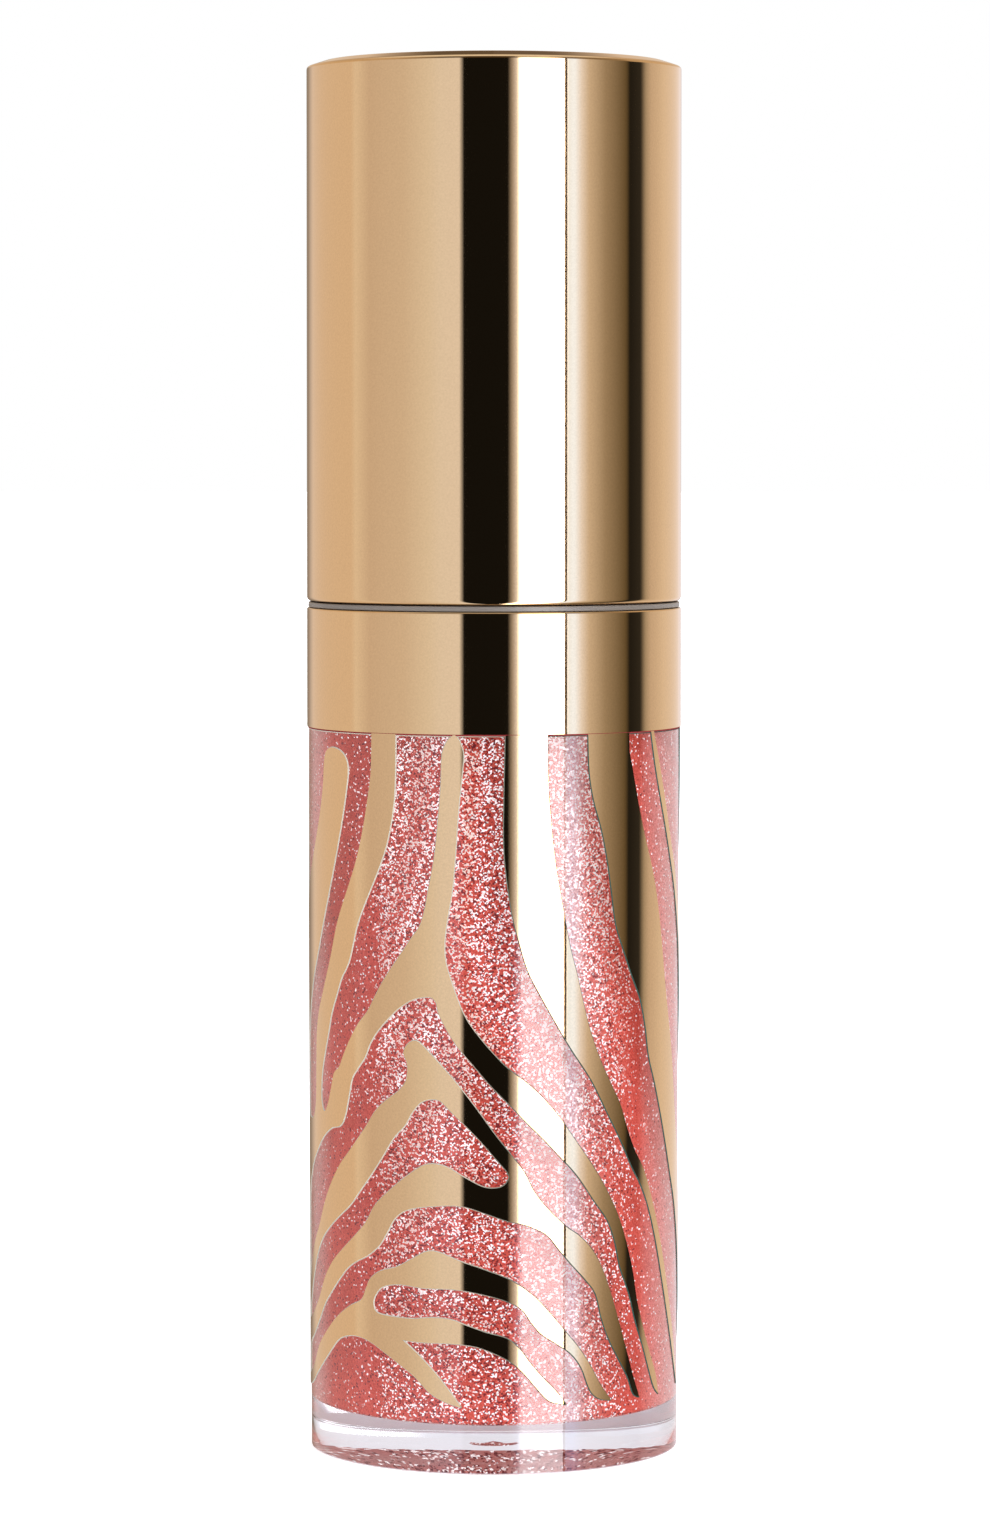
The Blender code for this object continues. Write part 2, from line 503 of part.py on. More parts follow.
def build():
    clear_scene()
    bpy.context.scene.unit_settings.system = "METRIC"
    bpy.context.scene.unit_settings.scale_length = 1.0
    parts = new_collection("lip_gloss_tube")
    cutters = new_collection("cutters")

    clear_plastic = material("clear_plastic", (0.93, 0.93, 0.95), 0.05, transmission=1.0)
    gold_foil = material("gold_foil", (0.74, 0.49, 0.26), 0.18, 1.0)
    gold_metal = material("gold_metal", (0.74, 0.50, 0.27), 0.12, 1.0)
    grey_ring = material("grey_ring", (0.21, 0.17, 0.14), 0.75)
    soft_white = material("soft_white", (0.85, 0.85, 0.82), 0.45)
    coral_gloss = material("coral_gloss", (0.61, 0.11, 0.09), 0.25)
    insert_white = material("insert_white", (0.80, 0.79, 0.76), 0.4)
    steel = material("steel", (0.55, 0.55, 0.56), 0.35, 1.0)
    foam = material("foam", (0.78, 0.78, 0.78), 0.8)
    rod_plastic = material("rod_plastic", (0.75, 0.73, 0.70), 0.3)
    core_plastic = material("core_plastic", (0.85, 0.78, 0.74), 0.4)
    flock = material("flock", (0.86, 0.66, 0.62), 0.95)

    # fixed pieces
    vial = turned("vial", vial_profile(), parts, clear_plastic)
    neck_thread = helix_cutter(
        "neck_thread", NECK_RADIUS, NECK_THREAD_BEAD, THREAD_TURNS, THREAD_START_Z, cutters)
    join_boolean(vial, neck_thread, "UNION")

    foil_skin("foil_decor", parts, gold_foil)

    collar_profile = [
        (7.2, COLLAR_TOP_Z), (OUTER_RADIUS - 0.12, COLLAR_TOP_Z), (OUTER_RADIUS, COLLAR_TOP_Z - 0.12),
        (OUTER_RADIUS, COLLAR_BOTTOM_Z), (COLLAR_BORE, COLLAR_BOTTOM_Z), (COLLAR_BORE, 43.78), (7.2, 43.78)]
    turned("collar", collar_profile, parts, gold_metal, closed=True)

    ring_profile = [
        (7.3, RING_TOP_Z), (RING_RADIUS, RING_TOP_Z), (RING_RADIUS, RING_BOTTOM_Z), (7.3, RING_BOTTOM_Z)]
    turned("seal_ring", ring_profile, parts, grey_ring, closed=True)

    wiper_profile = [
        (3.9, 52.36), (6.0, 52.36), (6.0, 52.06), (4.52, 52.06), (4.52, 43.6), (2.7, 40.7), (2.0, 40.7),
        (2.0, 41.2), (3.9, 44.2)]
    turned("wiper", wiper_profile, parts, soft_white, closed=True, segments=32)

    gloss_radius = CAVITY_RADIUS - 0.06
    gloss_floor = CAVITY_FLOOR_Z + 0.06
    gloss_profile = [(2.4, 39.4), (gloss_radius, 39.4)]
    gloss_profile += arc(gloss_radius - CAVITY_FILLET, gloss_floor + CAVITY_FILLET, CAVITY_FILLET, 0, -90, 2)
    gloss_profile += [(2.4, gloss_floor)]
    turned("gloss_fill", gloss_profile, parts, coral_gloss, closed=True)

    # pieces that leave with the cap
    liner_profile = [(2.1, 53.03), (7.0, 53.03), (7.0, 52.43), (2.1, 52.43)]
    liner = turned("cap_liner", liner_profile, parts, foam, closed=True, segments=32)

    shell_profile = [(0, CAP_TOP_Z)]
    shell_profile += arc(OUTER_RADIUS - CAP_TOP_FILLET, CAP_TOP_Z - CAP_TOP_FILLET, CAP_TOP_FILLET, 90, 0, 4)
    shell_profile += arc(
        OUTER_RADIUS - CAP_LIP_RADIUS, CAP_BOTTOM_Z + CAP_LIP_RADIUS, CAP_LIP_RADIUS, 0, -90, 4)
    shell_profile += [(CAP_BORE, CAP_BOTTOM_Z + 0.08), (CAP_BORE, CAP_CEILING_Z - 0.3)]
    shell_profile += [(CAP_BORE - 0.3, CAP_CEILING_Z), (0, CAP_CEILING_Z)]
    shell = turned("cap_shell", shell_profile, parts, gold_metal)

    insert_profile = [
        (0, 60.2), (3.0, 60.2), (3.3, 59.9), (3.3, 54.3), (8.3, 54.3), (8.3, 57.0), (INSERT_RADIUS, 57.0),
        (INSERT_RADIUS, 45.2), (INSERT_BORE + 0.3, 45.2), (INSERT_BORE, 45.5), (INSERT_BORE, INSERT_ROOF_Z),
        (SOCKET_RADIUS, INSERT_ROOF_Z), (SOCKET_RADIUS, SOCKET_TOP_Z), (0, SOCKET_TOP_Z)]
    insert = turned("cap_insert", insert_profile, parts, insert_white)
    cap_thread = helix_cutter(
        "cap_thread", INSERT_BORE, CAP_THREAD_BEAD, THREAD_TURNS,
        THREAD_START_Z + THREAD_PITCH / 2 - 0.6, cutters)
    join_boolean(insert, cap_thread, "UNION")

    weight_profile = [(2.5, 72.69), (9.0, 72.69), (9.3, 72.3), (9.3, 65.4), (9.0, 65.1), (2.5, 65.1)]
    weight = turned("cap_weight", weight_profile, parts, steel, closed=True)

    rod_profile = [
        (0, 59.1), (1.5, 59.1), (1.70, 58.8), (1.70, 53.2), (ROD_RADIUS, 52.9), (ROD_RADIUS, ROD_END_Z + 0.3),
        (ROD_RADIUS - 0.3, ROD_END_Z), (0.86, ROD_END_Z), (0.86, 21.5), (0, 21.5)]
    rod = turned("applicator_rod", rod_profile, parts, rod_plastic, segments=24)

    tip_profile = [(0, 21.4), (0.80, 21.2), (0.80, 17.4)] + wand_tip_profile(0.0)
    tip = turned("applicator_tip", tip_profile, parts, core_plastic, segments=24)
    shape_tip(tip)

    coat_outer = wand_tip_profile(0.40)
    coat_inner = wand_tip_profile(0.05)
    flocking = turned("tip_flocking", coat_inner[::-1] + coat_outer, parts, flock, segments=24)
    shape_tip(flocking)

    # every moving piece hangs from an empty on the axis of the tube, and all of them from the stand
    fixed = [item for item in parts.objects if item.name not in MOVING]
    stand = bpy.data.objects.new("stand", None)
    lift = bpy.data.objects.new("lift_axis", None)
    turn = bpy.data.objects.new("turn_axis", None)
    for empty in (stand, lift, turn):
        empty.empty_display_size = 0.01
        parts.objects.link(empty)
    stand.location.z = -FOOT_Z * MM
    lift.parent = stand
    turn.parent = lift
    for piece in fixed:
        piece.parent = stand
    liner.parent = lift
    for piece in (shell, insert, weight, rod, tip, flocking):
        piece.parent = turn


build()
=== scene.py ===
"""Looks of the lip gloss tube: clear vial, glitter gloss, striped gold foil, gold collar and cap, wand."""
import math

import bmesh
import bpy
from mathutils import Matrix, Vector
from mathutils.geometry import delaunay_2d_cdt


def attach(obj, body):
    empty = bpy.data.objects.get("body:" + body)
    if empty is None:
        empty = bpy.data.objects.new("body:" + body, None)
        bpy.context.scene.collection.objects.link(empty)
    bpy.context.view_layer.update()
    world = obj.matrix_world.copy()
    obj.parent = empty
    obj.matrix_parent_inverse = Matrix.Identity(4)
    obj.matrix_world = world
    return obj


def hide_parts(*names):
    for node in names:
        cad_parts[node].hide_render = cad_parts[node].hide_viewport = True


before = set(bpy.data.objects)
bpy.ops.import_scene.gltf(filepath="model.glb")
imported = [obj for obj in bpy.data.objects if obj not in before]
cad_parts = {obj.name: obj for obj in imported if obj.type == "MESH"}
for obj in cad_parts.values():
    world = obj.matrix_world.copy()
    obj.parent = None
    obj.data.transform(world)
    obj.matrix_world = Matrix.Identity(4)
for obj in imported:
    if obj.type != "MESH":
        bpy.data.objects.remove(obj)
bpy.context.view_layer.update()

MM = 0.001

# Sizes of the tube in millimetres; heights count from a level 0.5 mm above its foot
OUTER_RADIUS = 10.0
VIAL_TOP_RADIUS = 9.90
VIAL_BASE_RADIUS = 9.78
VIAL_LEDGE_Z = 38.00
FOOT_Z = -0.5
BASE_FILLET = 0.02
FOOT_RADIUS = 9.35
DISH_HEIGHT = 0.50
DISH_POWER = 2.2
DISH_STEPS = 12
GATE_RADIUS = 0.90
GATE_DEPTH = 0.06
CAVITY_RADIUS = 7.5
CAVITY_FLOOR_Z = 1.8
CAVITY_FILLET = 0.25
CAVITY_TOP_Z = 39.9
SPIGOT_RADIUS = 9.30
SHOULDER_Z = 43.70
NECK_RADIUS = 6.30
NECK_TOP_Z = 52.00
NECK_BORE_RADIUS = 4.60
NECK_THREAD_BEAD = 0.68
INSERT_BORE = 7.6
CAP_THREAD_BEAD = 0.43
THREAD_PITCH = 3.2
THREAD_TURNS = 1.5
THREAD_START_Z = 45.9
COLLAR_BOTTOM_Z = 38.01
COLLAR_TOP_Z = 44.34
COLLAR_EDGE_RADIUS = 0.08
RING_RADIUS = 9.92
RING_BOTTOM_Z = COLLAR_TOP_Z + 0.03
RING_CHAMFER = 0.04
CAP_BOTTOM_Z = 44.68
RING_TOP_Z = CAP_BOTTOM_Z - 0.04
CAP_LIP_RADIUS = 0.26
CAP_TOP_Z = 73.40
CAP_FLAT_RADIUS = 9.0
CAP_BEVEL_BLEND = 0.5
CAP_BEVEL_TILT = 72
CAP_EDGE_RADIUS = 0.18
CAP_EDGE_DROP = 0.43
CAP_BORE = 9.50
CAP_CEILING_Z = 72.75
GLOSS_TOP_Z = 39.0
GLOSS_OVERLAP = 0.02
WAND_CHANNEL_RADIUS = 1.75
ROD_RADIUS = 1.60
ROD_END_Z = 17.0
TIP_BOTTOM_Z = 4.9
TIP_FLATNESS = 0.72
TIP_LEAN = 0.45
FLOCK_THICKNESS = 0.36

TURN_SEGMENTS = 240
SUPPORT_LENGTH = 0.4
SUPPORT_OFFSET = 0.04
FOIL_RISE = 0.055
FOIL_UNDERSIDE = 0.004
FOIL_SLOPE = 0.05
FOIL_TOP_Z = 38.03
FOIL_BAND_Z = 37.93
FOIL_SEAM = -172.5
FOIL_SEAM_END = FOIL_SEAM + 360.0
FOIL_COLUMN = 1.5
FOIL_MM_PER_DEGREE = math.radians(1.0) * VIAL_TOP_RADIUS
FOIL_TOLERANCE = 0.004
# Tags of the foil's faces: plain skin, the band at the collar, painted dark as the collar's shadow, and the
# sloped rim of a stripe
SKIN_TAG, COLLAR_SHADOW_TAG, RIM_TAG = 0.0, 0.5, 1.0

# Each foil stripe is a ring of edges; an edge is smooth and the corners between edges are sharp.
FOIL_STRIPES = {
    # front: stripe from the collar, its fork and the long chevron that it meets
    "fork": [
        [(-40, 38), (-40.3, 36), (-41.6, 34.6), (-43.6, 33), (-46.4, 31.4), (-50, 30), (-56, 28),
         (-60.5, 26), (-63.3, 25), (-66.3, 24), (-69.6, 23), (-71.8, 21.8), (-72.4, 20), (-73, 18.2),
         (-76, 17.3), (-82, 17.2), (-90, 17.6)],
        [(-90, 11.4), (-82, 13.6), (-76, 14.9), (-72, 15.5), (-66, 16.4), (-60, 17), (-55, 17.2),
         (-52.3, 17.8), (-50.2, 19), (-48.8, 19.8), (-46, 20.4), (-43, 21), (-41, 21.7), (-38, 22.4),
         (-34, 23.1), (-30, 23.7), (-25, 24.2), (-20, 24.35), (-17.8, 24.1), (-16.6, 23.4), (-13, 22.3),
         (-10, 21.6), (-6, 20.8), (-1, 19.8), (5, 18.75), (10, 17.85), (15, 17), (20, 16.1), (26, 15),
         (32, 13.6), (37, 12.5), (40, 11.3), (42, 10), (46, 8.5), (49, 7), (53, 5.5), (56, 4.3), (59, 3.3),
         (62, 2.85)],
        [(62, 2.85), (60, 4), (57, 5), (54, 6.1), (51.5, 7.2), (49.5, 8.2), (48, 9.4), (46, 10.6),
         (42, 12.4), (37, 14), (32, 15.3), (26, 16.7), (20, 18.1), (15, 19.1), (10, 19.9), (4, 20.7),
         (0, 21.4), (-4, 22.2), (-7.5, 23), (-10, 23.8), (-12.6, 25), (-14.7, 26.2), (-15, 27.3),
         (-14, 28.6), (-12.6, 30), (-11.6, 32), (-10.8, 34), (-9.6, 36), (-9.2, 37), (-10.4, 37.7)],
        [(-10.4, 37.7), (-12, 38.0), (-14, 37.7)],
        [(-14, 37.7), (-15.7, 37), (-16.1, 35.4), (-17, 33.5), (-18.2, 31.6), (-20, 30), (-21.4, 28.8),
         (-23, 28), (-25.6, 27.4), (-29, 26.6), (-33, 25.7), (-36, 25), (-39, 24.2), (-42, 23.4),
         (-46, 22.7), (-50, 21.8), (-53, 21), (-55.5, 20.3), (-58.6, 19.9), (-60.6, 19), (-63, 18.1),
         (-65.5, 17.8), (-67.5, 18.5), (-66.8, 19.8), (-64.3, 21), (-62, 22), (-60, 23), (-57, 24),
         (-54, 25), (-50, 26), (-46, 28), (-40, 30), (-36.6, 31.2), (-34, 32.4), (-32, 34), (-31.2, 35.6),
         (-31, 38)],
    ],
    # front left: finger with a round end
    "finger": [
        [(-90, 18), (-82, 22.4), (-76, 24.5), (-70, 26.2), (-65, 28), (-60, 30), (-56.6, 31.6), (-53.4, 33.4),
         (-51.2, 35), (-50.4, 36.1), (-52.6, 36.8), (-58, 37.1), (-62.6, 36.9), (-64.4, 36.3), (-65.4, 35),
         (-68, 33.5), (-72, 32.1), (-76, 31), (-82, 29.6), (-90, 26.6)],
    ],
    # front: twin chevrons round a closed window
    "twin_outer": [
        [(-90, 6.6), (-82, 8.6), (-76, 10.4), (-70, 11.6), (-65, 13), (-60, 14.2), (-55, 15.2), (-50, 16),
         (-43, 17.3), (-39, 18.2), (-35, 18.8), (-30, 19.4), (-27.5, 20), (-27.2, 20.8), (-28.4, 21.4),
         (-26.6, 21.9), (-23.6, 22), (-19, 21.3), (-14, 20.4), (-10, 19.6), (-5, 18.5), (0, 17.3),
         (5, 16.2), (9, 15.3), (12, 14.3), (16, 13.4), (22, 12.4), (27, 11.8), (31.5, 11), (35, 10),
         (38, 8.8), (41, 7.4), (45, 5.5), (48, 4.1), (51, 2.95)],
        [(51, 2.95), (48, 3.2), (45.5, 4.1), (41, 5.3), (37.5, 6.3), (34.8, 7.4), (32.6, 8.7), (29, 9.5),
         (24, 10.4), (20, 11.2), (16, 12), (10, 12.5), (4, 12.75), (-2, 13.1), (-10, 13.5), (-19, 13.45),
         (-27, 13.2), (-31.5, 12.7), (-34.5, 11.9), (-37.4, 11.2), (-42, 10.6), (-47, 10.2), (-51, 9.8),
         (-55, 9.2), (-60, 8.4), (-65, 7.6), (-70, 6.6), (-76, 5.7), (-82, 5.1), (-90, 3.6)],
    ],
    # front: third chevron with the two short branches under it
    "branch_upper": [
        [(-90, 2.95), (-82, 3.5), (-76, 4.1), (-70, 5.3), (-65, 6), (-60, 6.7), (-55, 7.3), (-50, 7.8),
         (-45, 8.2), (-43, 8.8), (-41, 9.4), (-37, 9.85), (-31, 10.15), (-26, 10.6), (-21, 11.05),
         (-17, 11.05), (-10, 10.6), (-3, 10.2), (5, 9.65), (12, 8.8), (17, 7.9), (22, 6.9), (27, 5.9),
         (31, 4.9), (34.5, 3.9), (38.5, 3.05)],
        [(38.5, 3.05), (34, 3.2), (30.6, 3.7), (27.6, 4.9), (24, 5.7), (19, 6.3), (14.6, 6.8), (11.5, 7.4),
         (8.6, 8.1), (4, 8.55), (-3, 8.9), (-12, 9.15), (-22, 9.15), (-30, 9.25), (-36, 9.05), (-38.8, 8.6),
         (-39.8, 8.15), (-38.8, 7.7), (-35, 7.55), (-26, 7.5), (-19, 7.62), (-13, 7.55), (-8, 7.25),
         (-2, 6.9), (4, 6.6), (8, 6), (11, 5.3), (15, 4.5), (19, 3.8), (22.5, 3.05)],
        [(22.5, 3.05), (17, 3.3), (13, 4), (9, 4.8), (5, 5.4), (0, 5.85), (-6, 6.2), (-14, 6.32), (-22, 6.3),
         (-29, 6.35)],
        [(-29, 6.35), (-24, 5.7), (-18.5, 4.8), (-14, 3.9), (-10, 3.0)],
        [(-10, 3.0), (-15, 3.25), (-20, 3.7), (-25, 4.5), (-30, 5.05), (-35, 5.55), (-41, 6.05), (-46, 6.25),
         (-51, 6.2), (-56, 5.9), (-61, 5.2), (-66, 4.5), (-72, 3.75), (-77, 3.2), (-82, 2.9), (-90, 2.7)],
    ],
    # front: broad stripe from the collar, left of the middle, to the lower right
    "sweep": [
        [(3.5, 38), (3.1, 35), (3.0, 32.4), (3.8, 30.6), (5.6, 28.6), (8, 27), (10.4, 25.7), (14, 24.5),
         (19, 23), (24, 21.6), (31, 19.9), (37, 18.1), (42, 16.7), (47, 15.2), (52, 14), (56, 12.7), (60, 11),
         (65, 8.6), (70, 6.4), (76, 4.2), (81, 2.9)],
        [(81, 2.9), (76, 5.3), (71, 7.4), (67, 9.2), (63, 11), (58, 13.1), (53, 14.9), (48.5, 16), (45, 17.2),
         (42, 18.5), (38, 19.7), (34, 21), (30.5, 22.5), (28, 24), (26, 25.4), (23.6, 26.9), (21.2, 28.9),
         (19, 31), (17.4, 33.2), (16.4, 35.6), (16.2, 38)],
    ],
    # front right: broad stripe from the collar to the right edge
    "flank": [
        [(29.5, 38), (30, 36), (31.6, 34.5), (34.4, 33), (36.6, 31.4), (38.2, 29.8), (40, 28), (43, 26.7),
         (47, 25.2), (51, 23.9), (53.6, 22.4), (55.4, 20.9), (59, 19.4), (63, 17.7), (67, 16), (71, 14.4),
         (77, 12.4), (84, 9.4), (91, 6.2), (98, 3.2)],
        [(98, 3.2), (92, 8.6), (85, 13), (77, 17.4), (72.6, 20.6), (69, 22.7), (66, 24.6), (63.6, 26.6),
         (61, 28.6), (57.4, 30.6), (53, 32.5), (49.6, 34.3), (47, 36), (45.5, 37), (45.3, 38)],
    ],
    # right: thin stripe
    "sliver": [
        [(56, 38), (58.6, 36.2), (62, 34.5), (66, 32.8), (70, 31.2), (76, 29), (84, 25.6), (92, 21.2),
         (100, 16), (109, 10.6), (117, 6.4)],
        [(117, 6.4), (108, 13), (100, 18.6), (92, 23.4), (84, 27.3), (77, 30), (71, 32), (66, 34.1),
         (61, 36.4), (57.6, 38)],
    ],
    # left: the trunk that the ribs of the front and of the back grow from
    "trunk": [
        [(-104, 38), (-102, 33), (-99, 28), (-97, 22), (-96, 16), (-96, 10), (-94, 5), (-92, 2.9)],
        [(-92, 2.9), (-87, 2.75), (-83.6, 3.6), (-83.4, 8), (-84.6, 14), (-84.6, 20), (-86.4, 27),
         (-91, 33), (-94, 38)],
    ],
    "rib_high": [
        [(-94, 29.4), (-104, 26.6), (-116, 22), (-126, 16.6), (-134, 11), (-140, 5.6)],
        [(-140, 5.6), (-131, 8.6), (-122, 13.4), (-112, 18.6), (-102, 22.4), (-94, 24.2)],
    ],
    "rib_middle": [
        [(-94, 18.6), (-103, 16.6), (-112, 13), (-120, 8.6), (-126, 4.2)],
        [(-126, 4.2), (-117, 6.6), (-109, 10), (-101, 12.8), (-94, 14)],
    ],
    "rib_low": [
        [(-94, 9.6), (-101, 8.6), (-108, 6.4), (-114, 3.4)],
        [(-114, 3.4), (-106, 4.2), (-100, 5.6), (-94, 6.4)],
    ],
    # back: stripes hanging from the collar, leaning away from the trunk
    "back_one": [
        [(-124, 38), (-130, 32), (-138, 25), (-146, 17.6), (-153, 10), (-158, 4.4)],
        [(-158, 4.4), (-149, 10), (-140, 16), (-130, 23.6), (-121, 31), (-114, 38)],
    ],
    "back_two": [
        [(-150, 38), (-156, 32), (-163, 25), (-169, 17.6), (-173, 11)],
        [(-173, 11), (-164, 16.6), (-156, 23), (-148, 30), (-141, 38)],
    ],
    "back_three": [
        [(-178, 38), (-181.5, 32), (-186, 26), (-191, 19), (-194, 11.6), (-193, 6)],
        [(-193, 6), (-188.5, 11.6), (-184, 19), (-178, 25.6), (-173.6, 32), (-169, 38)],
    ],
    "back_four": [
        [(154, 38), (153, 33), (151, 28.6), (148.6, 24.6)],
        [(148.6, 24.6), (146.4, 28.6), (144.6, 33), (143, 38)],
    ],
    "back_five": [
        [(113, 38), (118, 33), (125, 26), (133, 19), (141, 12), (147, 5.6)],
        [(147, 5.6), (144.4, 12), (139, 19), (132.6, 26), (127, 32.4), (123, 38)],
    ],
    "back_six": [
        [(86, 38), (91, 33.6), (98, 28), (106, 21.6), (115, 14.6), (124, 8), (130, 3.6)],
        [(130, 3.6), (125.6, 10), (118, 17), (110, 24.4), (103, 30.6), (98, 35), (95.6, 38)],
    ],
}

# The closed window between the twin chevrons.
FOIL_WINDOW = [
    [(-83, 7.0), (-76, 8.9), (-72, 10), (-67, 11), (-61, 11.8), (-55, 12.5), (-50, 13.1), (-45, 14),
     (-40, 15), (-36, 15.9), (-32, 16.9), (-28, 17.6), (-25.5, 18.3), (-22, 18.9), (-17, 19), (-13, 18.4),
     (-8, 17.6), (-3, 16.7), (1, 15.9), (4, 15.3), (4.4, 14.9), (2, 14.5), (-3, 14.5), (-9, 15),
     (-15, 15.55), (-21, 15.6), (-27, 15), (-33, 14.2), (-39, 13.3), (-43, 12.3), (-48, 11.5), (-54, 10.7),
     (-60, 9.9), (-65, 9), (-70, 7.8), (-76, 6.9), (-83, 6.4), (-83, 7.0)],
]


def smooth_edge(points, steps):
    """Catmull-Rom curve through an open run of points."""
    padded = [points[0]] + points + [points[-1]]
    result = []
    for p0, p1, p2, p3 in zip(padded, padded[1:], padded[2:], padded[3:]):
        for i in range(steps):
            t = i / steps
            result.append(tuple(
                0.5 * (2 * b + (c - a) * t + (2 * a - 5 * b + 4 * c - d) * t * t
                       + (3 * b - a - 3 * c + d) * t ** 3)
                for a, b, c, d in zip(p0, p1, p2, p3)))
    result.append(points[-1])
    return result


def stripe_outline(edges, steps):
    """One closed outline from the smooth edges of a stripe."""
    outline = []
    for edge in edges:
        for point in smooth_edge(edge, steps):
            if not outline or math.dist(outline[-1], point) > 1e-6:
                outline.append(point)
    if math.dist(outline[0], outline[-1]) < 1e-6:
        outline.pop()
    return outline


def inside(outline, x, y):
    hit = False
    for (x0, y0), (x1, y1) in zip(outline, outline[1:] + outline[:1]):
        if (y0 > y) != (y1 > y) and x < x0 + (x1 - x0) * (y - y0) / (y1 - y0):
            hit = not hit
    return hit


# --- mesh helpers

def add_mesh(name, mesh, look, body, replaced=()):
    mesh.transform(Matrix.Translation((0, 0, -FOOT_Z * MM)))
    made = bpy.data.objects.new(name, mesh)
    bpy.context.scene.collection.objects.link(made)
    mesh.materials.clear()
    mesh.materials.append(look)
    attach(made, body)
    if replaced:
        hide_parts(*replaced)
    return made


def mesh_from(work, name):
    mesh = bpy.data.meshes.new(name)
    work.to_mesh(mesh)
    work.free()
    return mesh


def arc(centre_r, centre_z, radius, start, end, steps):
    points = []
    for i in range(steps + 1):
        angle = math.radians(start + (end - start) * i / steps)
        points.append((centre_r + radius * math.cos(angle), centre_z + radius * math.sin(angle)))
    return points


def signed_area(points):
    return sum(x0 * y1 - x1 * y0 for (x0, y0), (x1, y1) in zip(points, points[1:] + points[:1])) / 2


def supported(profile, closed):
    """Add a point close to both ends of each long run, so that its shading stays flat."""
    result = []
    following = profile[1:] + profile[:1]
    for k, (a, b) in enumerate(zip(profile, following)):
        result.append(a)
        length = math.dist(a, b)
        if length > SUPPORT_LENGTH and (closed or k < len(profile) - 1):
            for part in (SUPPORT_OFFSET / length, 1 - SUPPORT_OFFSET / length):
                result.append((a[0] + (b[0] - a[0]) * part, a[1] + (b[1] - a[1]) * part))
    return result


def turned_mesh(name, profile, closed=False, segments=TURN_SEGMENTS, sharp=35):
    """Turn a profile of (radius, height) about Z."""
    if signed_area(profile) > 0:
        profile = profile[::-1]
    profile = supported(profile, closed)
    work = bmesh.new()
    rows = []
    for r, z in profile:
        if r < 1e-6:
            rows.append([work.verts.new((0, 0, z * MM))])
            continue
        rows.append([
            work.verts.new((r * MM * math.cos(a), r * MM * math.sin(a), z * MM))
            for a in (2 * math.pi * i / segments for i in range(segments))])
    pairs = list(zip(rows, rows[1:]))
    if closed:
        pairs.append((rows[-1], rows[0]))
    for upper, lower in pairs:
        for i in range(segments):
            j = (i + 1) % segments
            ring = []
            for row, k in ((upper, i), (lower, i), (lower, j), (upper, j)):
                vertex = row[k % len(row)]
                if vertex not in ring:
                    ring.append(vertex)
            if len(ring) > 2:
                work.faces.new(ring)
    mesh = mesh_from(work, name)
    mesh.shade_smooth()
    mesh.set_sharp_from_angle(angle=math.radians(sharp))
    return mesh


def helix_mesh(name, radius, bead, turns, start_z, steps=48, sides=12):
    """A round bead wound on a cylinder; its ends taper into the wall."""
    work = bmesh.new()
    count = int(turns * steps) + 1
    rings = []
    for i in range(count):
        angle = 2 * math.pi * i / steps
        fade = min(1.0, min(i, count - 1 - i) / (steps * 0.12))
        size = bead * (0.25 + 0.75 * math.sin(fade * math.pi / 2))
        centre_z = start_z + THREAD_PITCH * i / steps
        ring = []
        for k in range(sides):
            turn = 2 * math.pi * k / sides
            r = radius + size * math.cos(turn)
            z = centre_z + size * math.sin(turn)
            ring.append(work.verts.new((r * MM * math.cos(angle), r * MM * math.sin(angle), z * MM)))
        rings.append(ring)
    for one, two in zip(rings, rings[1:]):
        for k in range(sides):
            work.faces.new((one[k], one[(k + 1) % sides], two[(k + 1) % sides], two[k]))
    work.faces.new(rings[0][::-1])
    work.faces.new(rings[-1])
    bmesh.ops.recalc_face_normals(work, faces=work.faces)
    return mesh_from(work, name)


def union_mesh(mesh, other, sharp=35):
    """Union of two meshes, returned as a new mesh."""
    a = bpy.data.objects.new("union_a", mesh)
    b = bpy.data.objects.new("union_b", other)
    for item in (a, b):
        bpy.context.scene.collection.objects.link(item)
    join = a.modifiers.new("join", "BOOLEAN")
    join.operation = "UNION"
    join.solver = "EXACT"
    join.object = b
    graph = bpy.context.evaluated_depsgraph_get()
    result = bpy.data.meshes.new_from_object(a.evaluated_get(graph))
    result.name = mesh.name + "_joined"
    for item in (a, b):
        bpy.data.objects.remove(item, do_unlink=True)
    result.shade_smooth()
    result.set_sharp_from_angle(angle=math.radians(sharp))
    return result


# --- material helpers

def new_material(name):
    made = bpy.data.materials.new(name)
    made.use_nodes = True
    tree = made.node_tree
    return made, tree, tree.nodes["Principled BSDF"]


def node(tree, kind, **values):
    made = tree.nodes.new(kind)
    for key, value in values.items():
        setattr(made, key, value)
    return made


def connect(tree, value, socket):
    """Link an output to a socket, or give the socket a plain value."""
    if isinstance(value, bpy.types.NodeSocket):
        tree.links.new(value, socket)
    else:
        socket.default_value = value


def maths(tree, operation, a, b=None, c=None, clamp=False):
    made = node(tree, "ShaderNodeMath", operation=operation, use_clamp=clamp)
    for socket, value in zip(made.inputs, (a, b, c)):
        if value is not None:
            connect(tree, value, socket)
    return made.outputs[0]


def vector_maths(tree, operation, a, b=None, scale=None):
    made = node(tree, "ShaderNodeVectorMath", operation=operation)
    connect(tree, a, made.inputs[0])
    if b is not None:
        connect(tree, b, made.inputs[1])
    if scale is not None:
        connect(tree, scale, made.inputs["Scale"])
    return made.outputs[0]


def split_vector(tree, vector):
    made = node(tree, "ShaderNodeSeparateXYZ")
    tree.links.new(vector, made.inputs[0])
    return made.outputs


def split_colour(tree, colour):
    made = node(tree, "ShaderNodeSeparateColor")
    tree.links.new(colour, made.inputs["Color"])
    return made.outputs


